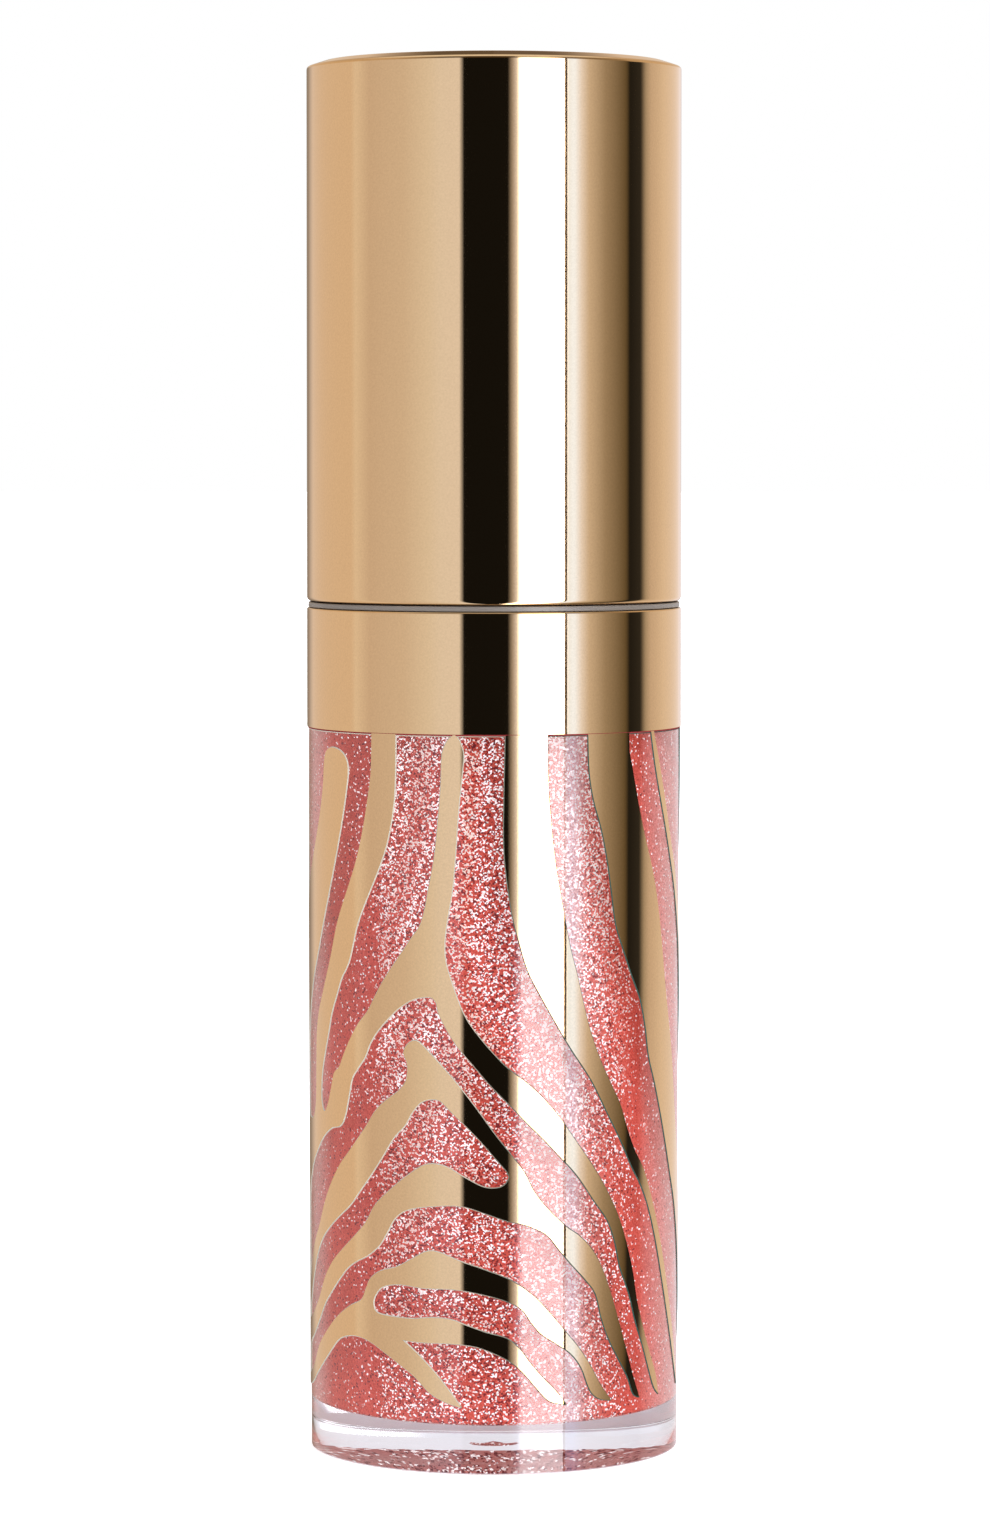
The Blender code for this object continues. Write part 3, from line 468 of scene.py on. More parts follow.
def ramp(tree, factor, stops):
    made = node(tree, "ShaderNodeValToRGB")
    elements = made.color_ramp.elements
    while len(elements) > 1:
        elements.remove(elements[-1])
    elements[0].position = stops[0][0]
    elements[0].color = stops[0][1]
    for position, colour in stops[1:]:
        elements.new(position).color = colour
    tree.links.new(factor, made.inputs["Fac"])
    return made.outputs["Color"]


def grey(value):
    return (value, value, value, 1.0)


def rise(tree, value, start, end):
    """0 up to the start, 1 from the end on."""
    return ramp(tree, value, [(start, grey(0.0)), (end, grey(1.0))])


def azimuth_of(tree, place):
    """Azimuth in radians, 0 towards the front, and the same as a share of a whole turn."""
    azimuth = maths(tree, "ARCTAN2", place["X"], maths(tree, "MULTIPLY", place["Y"], -1.0))
    return azimuth, maths(tree, "MULTIPLY_ADD", azimuth, 0.5 / math.pi, 0.5)


def turn_share(degrees):
    return (degrees + 180) / 360


def object_coordinates(tree, scale=1 / MM):
    """Object coordinates in units of 1/scale metres."""
    place = node(tree, "ShaderNodeTexCoord")
    stretch = node(tree, "ShaderNodeMapping")
    stretch.inputs["Scale"].default_value = (scale, scale, scale)
    tree.links.new(place.outputs["Object"], stretch.inputs["Vector"])
    return stretch.outputs["Vector"]


def noise(tree, vector, scale, detail=2.0, roughness=0.5):
    made = node(tree, "ShaderNodeTexNoise")
    made.inputs["Scale"].default_value = scale
    made.inputs["Detail"].default_value = detail
    made.inputs["Roughness"].default_value = roughness
    tree.links.new(vector, made.inputs["Vector"])
    return made.outputs["Fac"]


def bump(tree, height, distance, strength):
    made = node(tree, "ShaderNodeBump")
    made.inputs["Strength"].default_value = strength
    made.inputs["Distance"].default_value = distance
    tree.links.new(height, made.inputs["Height"])
    return made.outputs["Normal"]


def mix_colour(tree, factor, a, b):
    made = node(tree, "ShaderNodeMix", data_type="RGBA")
    for index, value in ((0, factor), (6, a), (7, b)):
        connect(tree, value, made.inputs[index])
    return made.outputs[2]


def shades(colour, variation):
    """A darker and a lighter shade of a colour."""
    low = tuple(c * (1 - variation) for c in colour) + (1.0,)
    high = tuple(min(1.0, c * (1 + variation)) for c in colour) + (1.0,)
    return low, high


# --- gold, foil and clear plastic

GOLD = (0.730, 0.491, 0.254)
GOLD_ROUGHNESS = 0.04
CAP_GRAIN = 0.0006
FOIL_GRAIN = 0.0012
# Painted light on a stripe's cut edge, from the left of the tube to its right: a painted highlight on the
# left, painted dark teal shade on the right
FOIL_RIM_PAINTED_LIGHT = [(0.0, (0.48, 0.46, 0.39, 1.0)), (0.42, (0.40, 0.36, 0.28, 1.0)),
             (0.58, (0.05, 0.08, 0.06, 1.0)), (1.0, (0.03, 0.07, 0.06, 1.0))]
# Painted shadow of the collar on the band of foil under it
COLLAR_SHADOW_COLOUR = (0.20, 0.03, 0.03, 1.0)


def gold_material(name, grain):
    """Polished champagne gold with a very fine satin grain and slight smudges in its polish."""
    made, tree, shader = new_material(name)
    shader.inputs["Metallic"].default_value = 1.0
    vector = object_coordinates(tree)
    fine = noise(tree, vector, 9.0, 2.0, 0.6)
    wide = noise(tree, vector, 0.35, 3.0, 0.5)
    low, high = shades(GOLD, 0.10)
    tree.links.new(mix_colour(tree, fine, low, high), shader.inputs["Base Color"])
    spread = maths(tree, "MULTIPLY_ADD", wide, 0.03, GOLD_ROUGHNESS - 0.015)
    tree.links.new(spread, shader.inputs["Roughness"])
    tree.links.new(bump(tree, fine, grain * MM, 0.25), shader.inputs["Normal"])
    return made


def foil_material():
    """The gold of the foil; its cut edges carry a painted highlight on the left of the tube and painted dark
    teal shade on the right, and the band at the collar carries the collar's painted shadow.
    """
    made = gold_material("gold_foil_stripe", FOIL_GRAIN)
    tree = made.node_tree
    shader = tree.nodes["Principled BSDF"]
    tag = node(tree, "ShaderNodeAttribute", attribute_type="GEOMETRY", attribute_name="rim").outputs["Fac"]
    rim = maths(tree, "GREATER_THAN", tag, 0.75)
    tagged = maths(tree, "GREATER_THAN", tag, 0.25)
    collar_shadow = maths(tree, "SUBTRACT", tagged, rim)
    place = split_vector(tree, object_coordinates(tree))
    across = maths(tree, "MULTIPLY_ADD", place["X"], 0.5 / OUTER_RADIUS, 0.5)
    plain = shader.inputs["Base Color"].links[0].from_socket
    # the sloped rims take painted light: a painted highlight on the left, painted shade on the right
    tint = mix_colour(tree, rim, plain, ramp(tree, across, FOIL_RIM_PAINTED_LIGHT))
    # the band under the collar takes the painted shadow colour
    tint = mix_colour(tree, collar_shadow, tint, COLLAR_SHADOW_COLOUR)
    tree.links.new(tint, shader.inputs["Base Color"])
    skin = maths(tree, "SUBTRACT", 1.0, maths(tree, "ADD", rim, collar_shadow))
    tree.links.new(skin, shader.inputs["Metallic"])
    tree.links.new(maths(tree, "MULTIPLY", skin, 0.5), shader.inputs["Specular IOR Level"])
    return made


def glass_material():
    made, tree, shader = new_material("clear_plastic_wall")
    shader.inputs["Transmission Weight"].default_value = 1.0
    shader.inputs["IOR"].default_value = 1.5
    faint = noise(tree, object_coordinates(tree), 0.6, 2.0)
    tint = mix_colour(tree, faint, (0.985, 0.985, 0.99, 1.0), (1.0, 1.0, 1.0, 1.0))
    tree.links.new(tint, shader.inputs["Base Color"])
    tree.links.new(maths(tree, "MULTIPLY", faint, 0.015), shader.inputs["Roughness"])
    return made


# --- gloss

# Gloss by azimuth, painted light fixed round the tube: share of flakes (painted glints where they are many),
# share of dark specks (painted shade), milkiness (a painted milky reflection), sheen of the flakes
GLOSS_PAINTED_ZONES = [
    (-180, 0.20, 0.12, 0.0, 0.7), (-150, 0.20, 0.12, 0.0, 0.7), (-118, 0.05, 0.02, 0.45, 0.4),
    (-84, 0.03, 0.03, 0.35, 0.4), (-74, 0.02, 0.05, 0.0, 0.5), (-60, 0.05, 0.06, 0.0, 0.6),
    (-48, 0.08, 0.08, 0.0, 0.6), (-43, 0.31, 0.21, 0.0, 0.8), (-6, 0.31, 0.21, 0.0, 0.8),
    (-2, 0.28, 0.30, 0.0, 0.8), (8, 0.26, 0.30, 0.0, 0.8), (11, 0.22, 0.08, 0.34, 0.05),
    (25, 0.22, 0.04, 0.40, 0.05), (27, 0.22, 0.03, 1.0, 0.1), (31.5, 0.26, 0.08, 0.85, 0.3),
    (36, 0.30, 0.22, 0.2, 0.25), (46, 0.26, 0.14, 0.0, 0.8), (54, 0.15, 0.04, 0.0, 0.8),
    (62, 0.05, 0.02, 0.0, 0.6), (85, 0.05, 0.02, 0.45, 0.4), (130, 0.06, 0.02, 0.3, 0.5),
    (150, 0.20, 0.12, 0.0, 0.7), (180, 0.20, 0.12, 0.0, 0.7)]
FLAKES_PER_MM = 12.0
FLAKE_LEAN = 0.16
FLAKE_TURN = 0.065
SETTLED_Z = CAVITY_FLOOR_Z - FOOT_Z + 0.05
SETTLED_SQUEEZE = 0.8
# The gloss gives off light of its own, painted light in place of the light that scatters inside it; flakes
# give off more, a painted glint
GLOSS_GLOW = 0.32
FLAKE_GLOW = 0.18
PIGMENT_LOW, PIGMENT_HIGH = (0.54, 0.058, 0.040, 1.0), (0.83, 0.175, 0.135, 1.0)
# Pale pink of the painted milky reflection on the gloss
MILKY_REFLECTION_LOW, MILKY_REFLECTION_HIGH = (0.60, 0.34, 0.31, 1.0), (0.92, 0.74, 0.70, 1.0)
SETTLED_COLOUR = (0.64, 0.37, 0.35, 1.0)
# Dark specks among the flakes: painted shade, thickest where the tube faces the dark strip
SPECK_SHADE_COLOUR = (0.14, 0.02, 0.03, 1.0)
FLAKE_COLOUR = (1.0, 0.90, 0.88, 1.0)


def flake_cells(tree, place, settled):
    """A random colour for each flake; flakes that settled on the floor lie in longer patches."""
    stretched = node(tree, "ShaderNodeCombineXYZ")
    length = maths(tree, "MULTIPLY_ADD", settled, -SETTLED_SQUEEZE, 1.0)
    tree.links.new(place["X"], stretched.inputs["X"])
    tree.links.new(maths(tree, "MULTIPLY", place["Y"], length), stretched.inputs["Y"])
    tree.links.new(place["Z"], stretched.inputs["Z"])
    cells = node(tree, "ShaderNodeTexVoronoi", feature="F1", distance="CHEBYCHEV")
    cells.inputs["Scale"].default_value = FLAKES_PER_MM
    cells.inputs["Randomness"].default_value = 1.0
    tree.links.new(stretched.outputs[0], cells.inputs["Vector"])
    return cells.outputs["Color"]


def pigment_colour(tree, vector, painted_milky_reflection, settled):
    """Coral pigment in soft clouds, with a painted milky reflection where the zones say so, and paler on the
    floor.
    """
    cloud = noise(tree, vector, 1.4, 3.0, 0.6)
    mottle = rise(tree, noise(tree, vector, 10.0, 2.0, 0.7), 0.38, 0.62)
    tone = maths(tree, "MULTIPLY_ADD", mottle, 0.45, maths(tree, "MULTIPLY", cloud, 0.55))
    pigment = mix_colour(tree, tone, PIGMENT_LOW, PIGMENT_HIGH)
    milk_reflection = mix_colour(tree, mottle, MILKY_REFLECTION_LOW, MILKY_REFLECTION_HIGH)
    pigment = mix_colour(tree, painted_milky_reflection, pigment, milk_reflection)
    return mix_colour(tree, maths(tree, "MULTIPLY", settled, 0.6), pigment, SETTLED_COLOUR)


def flake_normal(tree, cells):
    """Each flake leans its own way by a few degrees, and all of them a little to one side."""
    own_way = vector_maths(tree, "SUBTRACT", cells, (0.5, 0.5, 0.5))
    lean = vector_maths(tree, "SCALE", own_way, scale=FLAKE_LEAN)
    normal = node(tree, "ShaderNodeNewGeometry").outputs["Normal"]
    side = vector_maths(tree, "CROSS_PRODUCT", (0.0, 0.0, -FLAKE_TURN), normal)
    total = vector_maths(tree, "ADD", vector_maths(tree, "ADD", normal, side), lean)
    return vector_maths(tree, "NORMALIZE", total)


def gloss_material():
    """Coral gloss: a pigment with flat flakes that lie almost along the wall and glint, with painted light
    fixed round the tube by azimuth (a painted milky reflection, painted glints of white flakes, dark specks
    of painted shade) and a glow of its own.
    """
    made, tree, shader = new_material("coral_glitter_gloss")
    vector = object_coordinates(tree)
    place = split_vector(tree, vector)
    _, turn = azimuth_of(tree, place)
    levels = ramp(tree, turn, [(turn_share(zone[0]), zone[1:]) for zone in GLOSS_PAINTED_ZONES])
    zones = split_colour(tree, levels)
    painted_milky_reflection = zones["Blue"]
    settled = maths(tree, "LESS_THAN", place["Z"], SETTLED_Z)
    cells = flake_cells(tree, place, settled)
    draw = split_colour(tree, cells)
    # fewer flakes low in the vial, more of them and more specks on its floor
    thinned = maths(tree, "MULTIPLY_ADD", place["Z"], 0.019, 0.55, clamp=True)
    share = maths(tree, "MULTIPLY_ADD", settled, 0.04, maths(tree, "MULTIPLY", zones["Red"], thinned))
    flake = maths(tree, "LESS_THAN", draw["Red"], share)
    speck_shade_share = maths(tree, "MULTIPLY_ADD", settled, 0.12, zones["Green"])
    dark = maths(tree, "LESS_THAN", draw["Green"], speck_shade_share)
    pigment = pigment_colour(tree, vector, painted_milky_reflection, settled)
    shade = maths(tree, "MULTIPLY", dark, maths(tree, "MULTIPLY_ADD", painted_milky_reflection, -0.6, 0.80))
    tint = mix_colour(tree, flake, mix_colour(tree, shade, pigment, SPECK_SHADE_COLOUR), FLAKE_COLOUR)
    tree.links.new(tint, shader.inputs["Base Color"])
    tree.links.new(tint, shader.inputs["Emission Color"])
    glow = maths(tree, "MULTIPLY_ADD", flake, FLAKE_GLOW, GLOSS_GLOW)
    tree.links.new(glow, shader.inputs["Emission Strength"])
    sheen = maths(tree, "MULTIPLY", flake, levels.node.outputs["Alpha"])
    sheen = maths(tree, "MULTIPLY", sheen, maths(tree, "SUBTRACT", 1.0, dark))
    tree.links.new(sheen, shader.inputs["Metallic"])
    shader.inputs["Roughness"].default_value = 0.22
    shader.inputs["Specular IOR Level"].default_value = 0.0
    tree.links.new(flake_normal(tree, cells), shader.inputs["Normal"])
    return made


def plain_material(name, colour, roughness, variation=0.06, grain_scale=4.0, grain=0.01, metallic=0.0):
    """Moulded or turned surface with faint colour and roughness variation and a fine grain."""
    made, tree, shader = new_material(name)
    fine = noise(tree, object_coordinates(tree), grain_scale, 3.0, 0.6)
    low, high = shades(colour, variation)
    tree.links.new(mix_colour(tree, fine, low, high), shader.inputs["Base Color"])
    spread = maths(tree, "MULTIPLY_ADD", fine, 0.08, roughness - 0.04, clamp=True)
    tree.links.new(spread, shader.inputs["Roughness"])
    tree.links.new(bump(tree, fine, grain * MM, 0.4), shader.inputs["Normal"])
    shader.inputs["Metallic"].default_value = metallic
    return made


# --- vial and gloss

def vial_radius(z):
    start_z = FOOT_Z + BASE_FILLET
    slope = (VIAL_TOP_RADIUS - VIAL_BASE_RADIUS) / (VIAL_LEDGE_Z - start_z)
    return VIAL_BASE_RADIUS + slope * (z - start_z)


def dish_height(radius):
    return FOOT_Z + DISH_HEIGHT * (1 - (radius / FOOT_RADIUS) ** DISH_POWER)


def make_vial(look):
    profile = [(0, CAVITY_FLOOR_Z)]
    profile += arc(CAVITY_RADIUS - CAVITY_FILLET, CAVITY_FLOOR_Z + CAVITY_FILLET, CAVITY_FILLET, -90, 0, 10)
    profile += [(CAVITY_RADIUS, CAVITY_TOP_Z), (7.2, 40.6), (4.9, 42.6), (NECK_BORE_RADIUS, 43.1)]
    profile += arc(NECK_BORE_RADIUS + 0.15, NECK_TOP_Z - 0.15, 0.15, 180, 90, 5)
    profile += arc(NECK_RADIUS - 0.2, NECK_TOP_Z - 0.2, 0.2, 90, 0, 6)
    profile += arc(NECK_RADIUS + 0.3, SHOULDER_Z + 0.3, 0.3, 180, 270, 5)
    profile += arc(SPIGOT_RADIUS - 0.5, SHOULDER_Z - 0.5, 0.5, 90, 0, 8)
    profile += [(SPIGOT_RADIUS, VIAL_LEDGE_Z)]
    profile += arc(VIAL_TOP_RADIUS - 0.05, VIAL_LEDGE_Z - 0.05, 0.05, 90, 0, 4)
    profile += [(vial_radius(z), z) for z in (30, 20, 10)]
    profile += arc(VIAL_BASE_RADIUS - BASE_FILLET, FOOT_Z + BASE_FILLET, BASE_FILLET, 0, -90, 10)
    for i in range(DISH_STEPS + 1):
        radius = FOOT_RADIUS + (GATE_RADIUS - FOOT_RADIUS) * i / DISH_STEPS
        profile.append((radius, dish_height(radius)))
    gate_z = dish_height(GATE_RADIUS) + GATE_DEPTH
    profile += [(GATE_RADIUS - 0.08, gate_z), (0, gate_z + 0.05)]
    body = turned_mesh("vial_wall", profile, sharp=50)
    thread = helix_mesh("neck_thread", NECK_RADIUS, NECK_THREAD_BEAD, THREAD_TURNS, THREAD_START_Z)
    return add_mesh("vial_wall", union_mesh(body, thread, sharp=50), look, "tube", ["vial"])


def make_gloss(look):
    """The gloss, a hair into the wall, with a free channel for the wand."""
    radius = CAVITY_RADIUS + GLOSS_OVERLAP
    floor = CAVITY_FLOOR_Z - GLOSS_OVERLAP
    profile = [(0, TIP_BOTTOM_Z - 0.6), (WAND_CHANNEL_RADIUS, TIP_BOTTOM_Z - 0.4)]
    profile += [(WAND_CHANNEL_RADIUS, GLOSS_TOP_Z + 0.2), (2.0, GLOSS_TOP_Z), (6.9, GLOSS_TOP_Z)]
    profile += [(7.2, GLOSS_TOP_Z + 0.1), (radius, GLOSS_TOP_Z + 0.5)]
    profile += arc(radius - CAVITY_FILLET, floor + CAVITY_FILLET, CAVITY_FILLET, 0, -90, 12)
    profile += [(0, floor)]
    return add_mesh("gloss", turned_mesh("gloss", profile), look, "tube", ["gloss_fill"])


# --- foil

def foil_point(azimuth, z, offset):
    radius = vial_radius(z) + offset
    angle = math.radians(azimuth)
    return Vector((radius * math.sin(angle), -radius * math.cos(angle), z)) * MM


def foil_outlines(steps):
    """Outlines of all stripes as (azimuth, height), also a turn away where they reach past the seam."""
    outlines = []
    for edges in FOIL_STRIPES.values():
        outline = stripe_outline(edges, steps)
        for turn in (-360.0, 0.0, 360.0):
            moved = [(a + turn, min(z, FOIL_BAND_Z + 0.05)) for a, z in outline]
            if max(a for a, _ in moved) > FOIL_SEAM and min(a for a, _ in moved) < FOIL_SEAM_END:
                outlines.append(moved)
    return outlines


def foil_cuts(outlines):
    """Points and edges in the flat sheet: the outlines, upright columns and the band at the collar."""
    points, links = [], []
    for outline in outlines:
        base = len(points)
        points.extend(Vector((a * FOIL_MM_PER_DEGREE, z)) for a, z in outline)
        links.extend((base + i, base + (i + 1) % len(outline)) for i in range(len(outline)))
    columns = [FOIL_SEAM + i * FOIL_COLUMN for i in range(int(360 / FOIL_COLUMN) + 1)]
    runs = [((column, 0.0), (column, FOIL_TOP_Z)) for column in columns]
    runs += [((FOIL_SEAM, z), (FOIL_SEAM_END, z)) for z in (FOIL_BAND_Z, FOIL_TOP_Z)]
    for run in runs:
        links.append((len(points), len(points) + 1))
        points.extend(Vector((a * FOIL_MM_PER_DEGREE, z)) for a, z in run)
    return points, links


def foil_faces(found, faces, outlines, window):
    """The faces that carry foil, each with whether it lies on a stripe or only in the band."""
    kept = []
    for face in faces:
        x = sum(found[i].x for i in face) / len(face) / FOIL_MM_PER_DEGREE
        y = sum(found[i].y for i in face) / len(face)
        if not FOIL_SEAM < x < FOIL_SEAM_END or y > FOIL_TOP_Z:
            continue
        on_stripe = any(inside(outline, x, y) for outline in outlines) and not inside(window, x, y)
        if y > FOIL_BAND_Z or on_stripe:
            kept.append((face, on_stripe))
    return kept


def foil_borders(found, kept):
    """Edges with foil on one side only, without those at the seam, where the sheet meets itself."""
    borders = set()
    for face, _ in kept:
        for i, j in zip(face, face[1:] + face[:1]):
            if (j, i) in borders:
                borders.discard((j, i))
            else:
                borders.add((i, j))
    seams = (FOIL_SEAM * FOIL_MM_PER_DEGREE, FOIL_SEAM_END * FOIL_MM_PER_DEGREE)
    return [
        (i, j) for i, j in borders
        if not any(abs(found[i].x - x) < 1e-4 and abs(found[j].x - x) < 1e-4 for x in seams)]


def foil_foot(found, borders):
    """Points of the underside; those on a border lie a little outside it, so that the rim slopes."""
    push = {}
    for i, j in borders:
        along = (found[j] - found[i]).normalized()
        for k in (i, j):
            push[k] = push.get(k, Vector((0, 0))) + Vector((along.y, -along.x))
    foot = []
    for k, p in enumerate(found):
        shift = push.get(k)
        move = shift.normalized() * FOIL_SLOPE if shift and shift.length > 1e-6 else Vector((0, 0))
        foot.append(foil_point(
            (p.x + move.x) / FOIL_MM_PER_DEGREE, min(p.y + move.y, FOIL_TOP_Z), FOIL_UNDERSIDE))
    return foot


def shade_foil(mesh):
    """The skin takes the round normals of the vial; the sloped rim and the underside keep their own."""
    rim = mesh.attributes["rim"]
    normals = [None] * len(mesh.loops)
    for polygon in mesh.polygons:
        middle = polygon.center
        outward = polygon.normal.x * middle.x + polygon.normal.y * middle.y > 0
        radial = outward and rim.data[polygon.index].value < 0.9
        for loop in polygon.loop_indices:
            place = mesh.vertices[mesh.loops[loop].vertex_index].co
            normals[loop] = Vector((place.x, place.y, 0)).normalized() if radial else polygon.normal.copy()
    mesh.normals_split_custom_set([tuple(n) for n in normals])


def make_foil(look):
    """The striped skin: a raised sheet with sloped edges on the outside of the vial."""
    steps = 6
    outlines = foil_outlines(steps)
    window = stripe_outline(FOIL_WINDOW, steps)
    points, links = foil_cuts(outlines + [window])
    found, _, faces, _, _, _ = delaunay_2d_cdt(points, links, [], 0, FOIL_TOLERANCE)
    kept = foil_faces(found, faces, outlines, window)
    borders = foil_borders(found, kept)
    work = bmesh.new()
    tag = work.faces.layers.float.new("rim")
    high = [work.verts.new(foil_point(p.x / FOIL_MM_PER_DEGREE, p.y, FOIL_RISE)) for p in found]
    low = [work.verts.new(place) for place in foil_foot(found, borders)]
    for face, on_stripe in kept:
        work.faces.new([high[i] for i in face])[tag] = SKIN_TAG if on_stripe else COLLAR_SHADOW_TAG
        work.faces.new([low[i] for i in reversed(face)])[tag] = SKIN_TAG
    for i, j in borders:
        work.faces.new([low[i], low[j], high[j], high[i]])[tag] = RIM_TAG
    bmesh.ops.delete(work, geom=[v for v in work.verts if not v.link_faces], context="VERTS")
    for face in work.faces:
        face.smooth = True
    mesh = mesh_from(work, "foil_stripes")
    shade_foil(mesh)
    return add_mesh("foil_stripes", mesh, look, "tube", ["foil_decor"])


# --- collar, ring and wiper

def make_collar(look):
    profile = [(7.2, COLLAR_TOP_Z)]
    profile += arc(
        OUTER_RADIUS - COLLAR_EDGE_RADIUS, COLLAR_TOP_Z - COLLAR_EDGE_RADIUS, COLLAR_EDGE_RADIUS, 90, 0, 6)
    profile += [(OUTER_RADIUS, COLLAR_BOTTOM_Z), (9.4, COLLAR_BOTTOM_Z), (9.4, 43.78), (7.2, 43.78)]
    mesh = turned_mesh("collar_sleeve", profile, closed=True)
    return add_mesh("collar_sleeve", mesh, look, "tube", ["collar"])


def make_ring(look):
    profile = [(7.3, RING_TOP_Z), (RING_RADIUS - RING_CHAMFER, RING_TOP_Z)]
    profile += [(RING_RADIUS, RING_TOP_Z - RING_CHAMFER), (RING_RADIUS, RING_BOTTOM_Z + RING_CHAMFER)]
    profile += [(RING_RADIUS - RING_CHAMFER, RING_BOTTOM_Z), (7.3, RING_BOTTOM_Z)]
    mesh = turned_mesh("parting_ring", profile, closed=True)
    return add_mesh("parting_ring", mesh, look, "tube", ["seal_ring"])


def make_wiper(look):
    profile = [(3.9, 52.36), (5.9, 52.36), (6.0, 52.26), (6.0, 52.06), (4.52, 52.06), (4.52, 43.6)]
    profile += [(2.7, 40.7)] + arc(2.15, 40.85, 0.15, 270, 180, 4) + [(2.0, 41.2), (3.9, 44.2)]
    mesh = turned_mesh("neck_wiper", profile, closed=True, segments=120)
    return add_mesh("neck_wiper", mesh, look, "tube", ["wiper"])


# --- cap

def make_shell(look):
    """The gold cap: a shallow bevel round the flat top, a small edge under it and a rounded lip."""
    profile = [(0, CAP_TOP_Z), (8.0, CAP_TOP_Z)]
    profile += arc(CAP_FLAT_RADIUS, CAP_TOP_Z - CAP_BEVEL_BLEND, CAP_BEVEL_BLEND, 90, CAP_BEVEL_TILT, 4)
    profile += arc(
        OUTER_RADIUS - CAP_EDGE_RADIUS, CAP_TOP_Z - CAP_EDGE_DROP, CAP_EDGE_RADIUS, CAP_BEVEL_TILT, 0, 10)
    profile += arc(OUTER_RADIUS - CAP_LIP_RADIUS, CAP_BOTTOM_Z + CAP_LIP_RADIUS, CAP_LIP_RADIUS, 0, -90, 10)
    profile += [(CAP_BORE, CAP_BOTTOM_Z + 0.1), (CAP_BORE, CAP_CEILING_Z - 0.3)]
    profile += [(CAP_BORE - 0.3, CAP_CEILING_Z), (0, CAP_CEILING_Z)]
    return add_mesh("cap_skin", turned_mesh("cap_skin", profile), look, "cap", ["cap_shell"])


def make_insert(look):
    profile = [(0, 60.2)]
    profile += arc(3.0, 59.9, 0.3, 90, 0, 4)
    profile += [(3.3, 54.3), (8.3, 54.3), (8.3, 56.8), (8.5, 57.0), (9.2, 57.0), (9.4, 56.8)]
    profile += arc(9.2, 45.4, 0.2, 0, -90, 4)
    profile += arc(7.9, 45.4, 0.2, 270, 180, 4)
    profile += [(INSERT_BORE, 45.8), (INSERT_BORE, 52.9), (7.4, 53.1), (1.9, 53.1), (1.76, 53.3)]
    profile += [(1.76, 59.2), (0, 59.2)]
    body = turned_mesh("cap_thread_cup", profile, segments=120)
    thread_z = THREAD_START_Z + THREAD_PITCH / 2 - 0.6
    thread = helix_mesh("cap_thread", INSERT_BORE, CAP_THREAD_BEAD, THREAD_TURNS, thread_z)
    mesh = union_mesh(body, thread)
    return add_mesh("cap_thread_cup", mesh, look, "cap", ["cap_insert"])


def make_weight(look):
    profile = arc(8.9, 72.29, 0.4, 90, 0, 5) + arc(8.9, 65.5, 0.4, 0, -90, 5) + [(2.5, 65.1), (2.5, 72.69)]
    mesh = turned_mesh("steel_slug", profile, closed=True, segments=120)
    return add_mesh("steel_slug", mesh, look, "cap", ["cap_weight"])


def make_liner(look):
    profile = [(2.1, 53.03), (6.9, 53.03), (7.0, 52.93), (7.0, 52.53), (6.9, 52.43), (2.1, 52.43)]
    mesh = turned_mesh("sealing_washer", profile, closed=True, segments=96)
    return add_mesh("sealing_washer", mesh, look, "washer", ["cap_liner"])


# --- wand

def make_rod(look):
    profile = [(0, 59.1), (1.5, 59.1), (1.70, 58.8), (1.70, 53.2), (ROD_RADIUS, 52.9)]
    profile += [(ROD_RADIUS, ROD_END_Z + 0.3)]
    profile += arc(ROD_RADIUS - 0.25, ROD_END_Z + 0.25, 0.25, 0, -90, 5)
    profile += [(0.86, ROD_END_Z), (0.86, 21.5), (0, 21.5)]
    mesh = turned_mesh("wand_rod", profile, segments=64)
    return add_mesh("wand_rod", mesh, look, "cap", ["applicator_rod"])


def wand_tip_profile(grow):
    waist = [(0.80, 16.6), (0.95, 15.6), (1.20, 13.5), (1.35, 11.0), (1.30, 8.5), (1.00, 6.6), (0.55, 5.7)]
    return [(r + grow, z - 0.35 * grow) for r, z in waist] + [(0, 5.4 - grow)]


def shape_tip(mesh):
    """Flatten the tip front to back and lean its end."""
    top = ROD_END_Z - 0.4
    for vertex in mesh.vertices:
        x, y, z = (c / MM for c in vertex.co)
        below = max(0.0, top - z) / (top - TIP_BOTTOM_Z)
        flat = 1.0 - (1.0 - TIP_FLATNESS) * min(1.0, below * 2.5)
        vertex.co = Vector((x, y * flat - TIP_LEAN * below ** 2, z)) * MM


def make_tip(core_look, flock_look):
    core = [(0, 21.4), (0.80, 21.2), (0.80, 17.4)] + wand_tip_profile(0.0)
    mesh = turned_mesh("tip_core", core, segments=48)
    shape_tip(mesh)
    add_mesh("tip_core", mesh, core_look, "cap", ["applicator_tip"])
    outer = smooth_edge(wand_tip_profile(FLOCK_THICKNESS), 4)
    inner = wand_tip_profile(0.05)
    mesh = turned_mesh("tip_flock", inner[::-1] + outer, segments=48, sharp=80)
    shape_tip(mesh)
    add_mesh("tip_flock", mesh, flock_look, "cap", ["tip_flocking"])


# --- studio

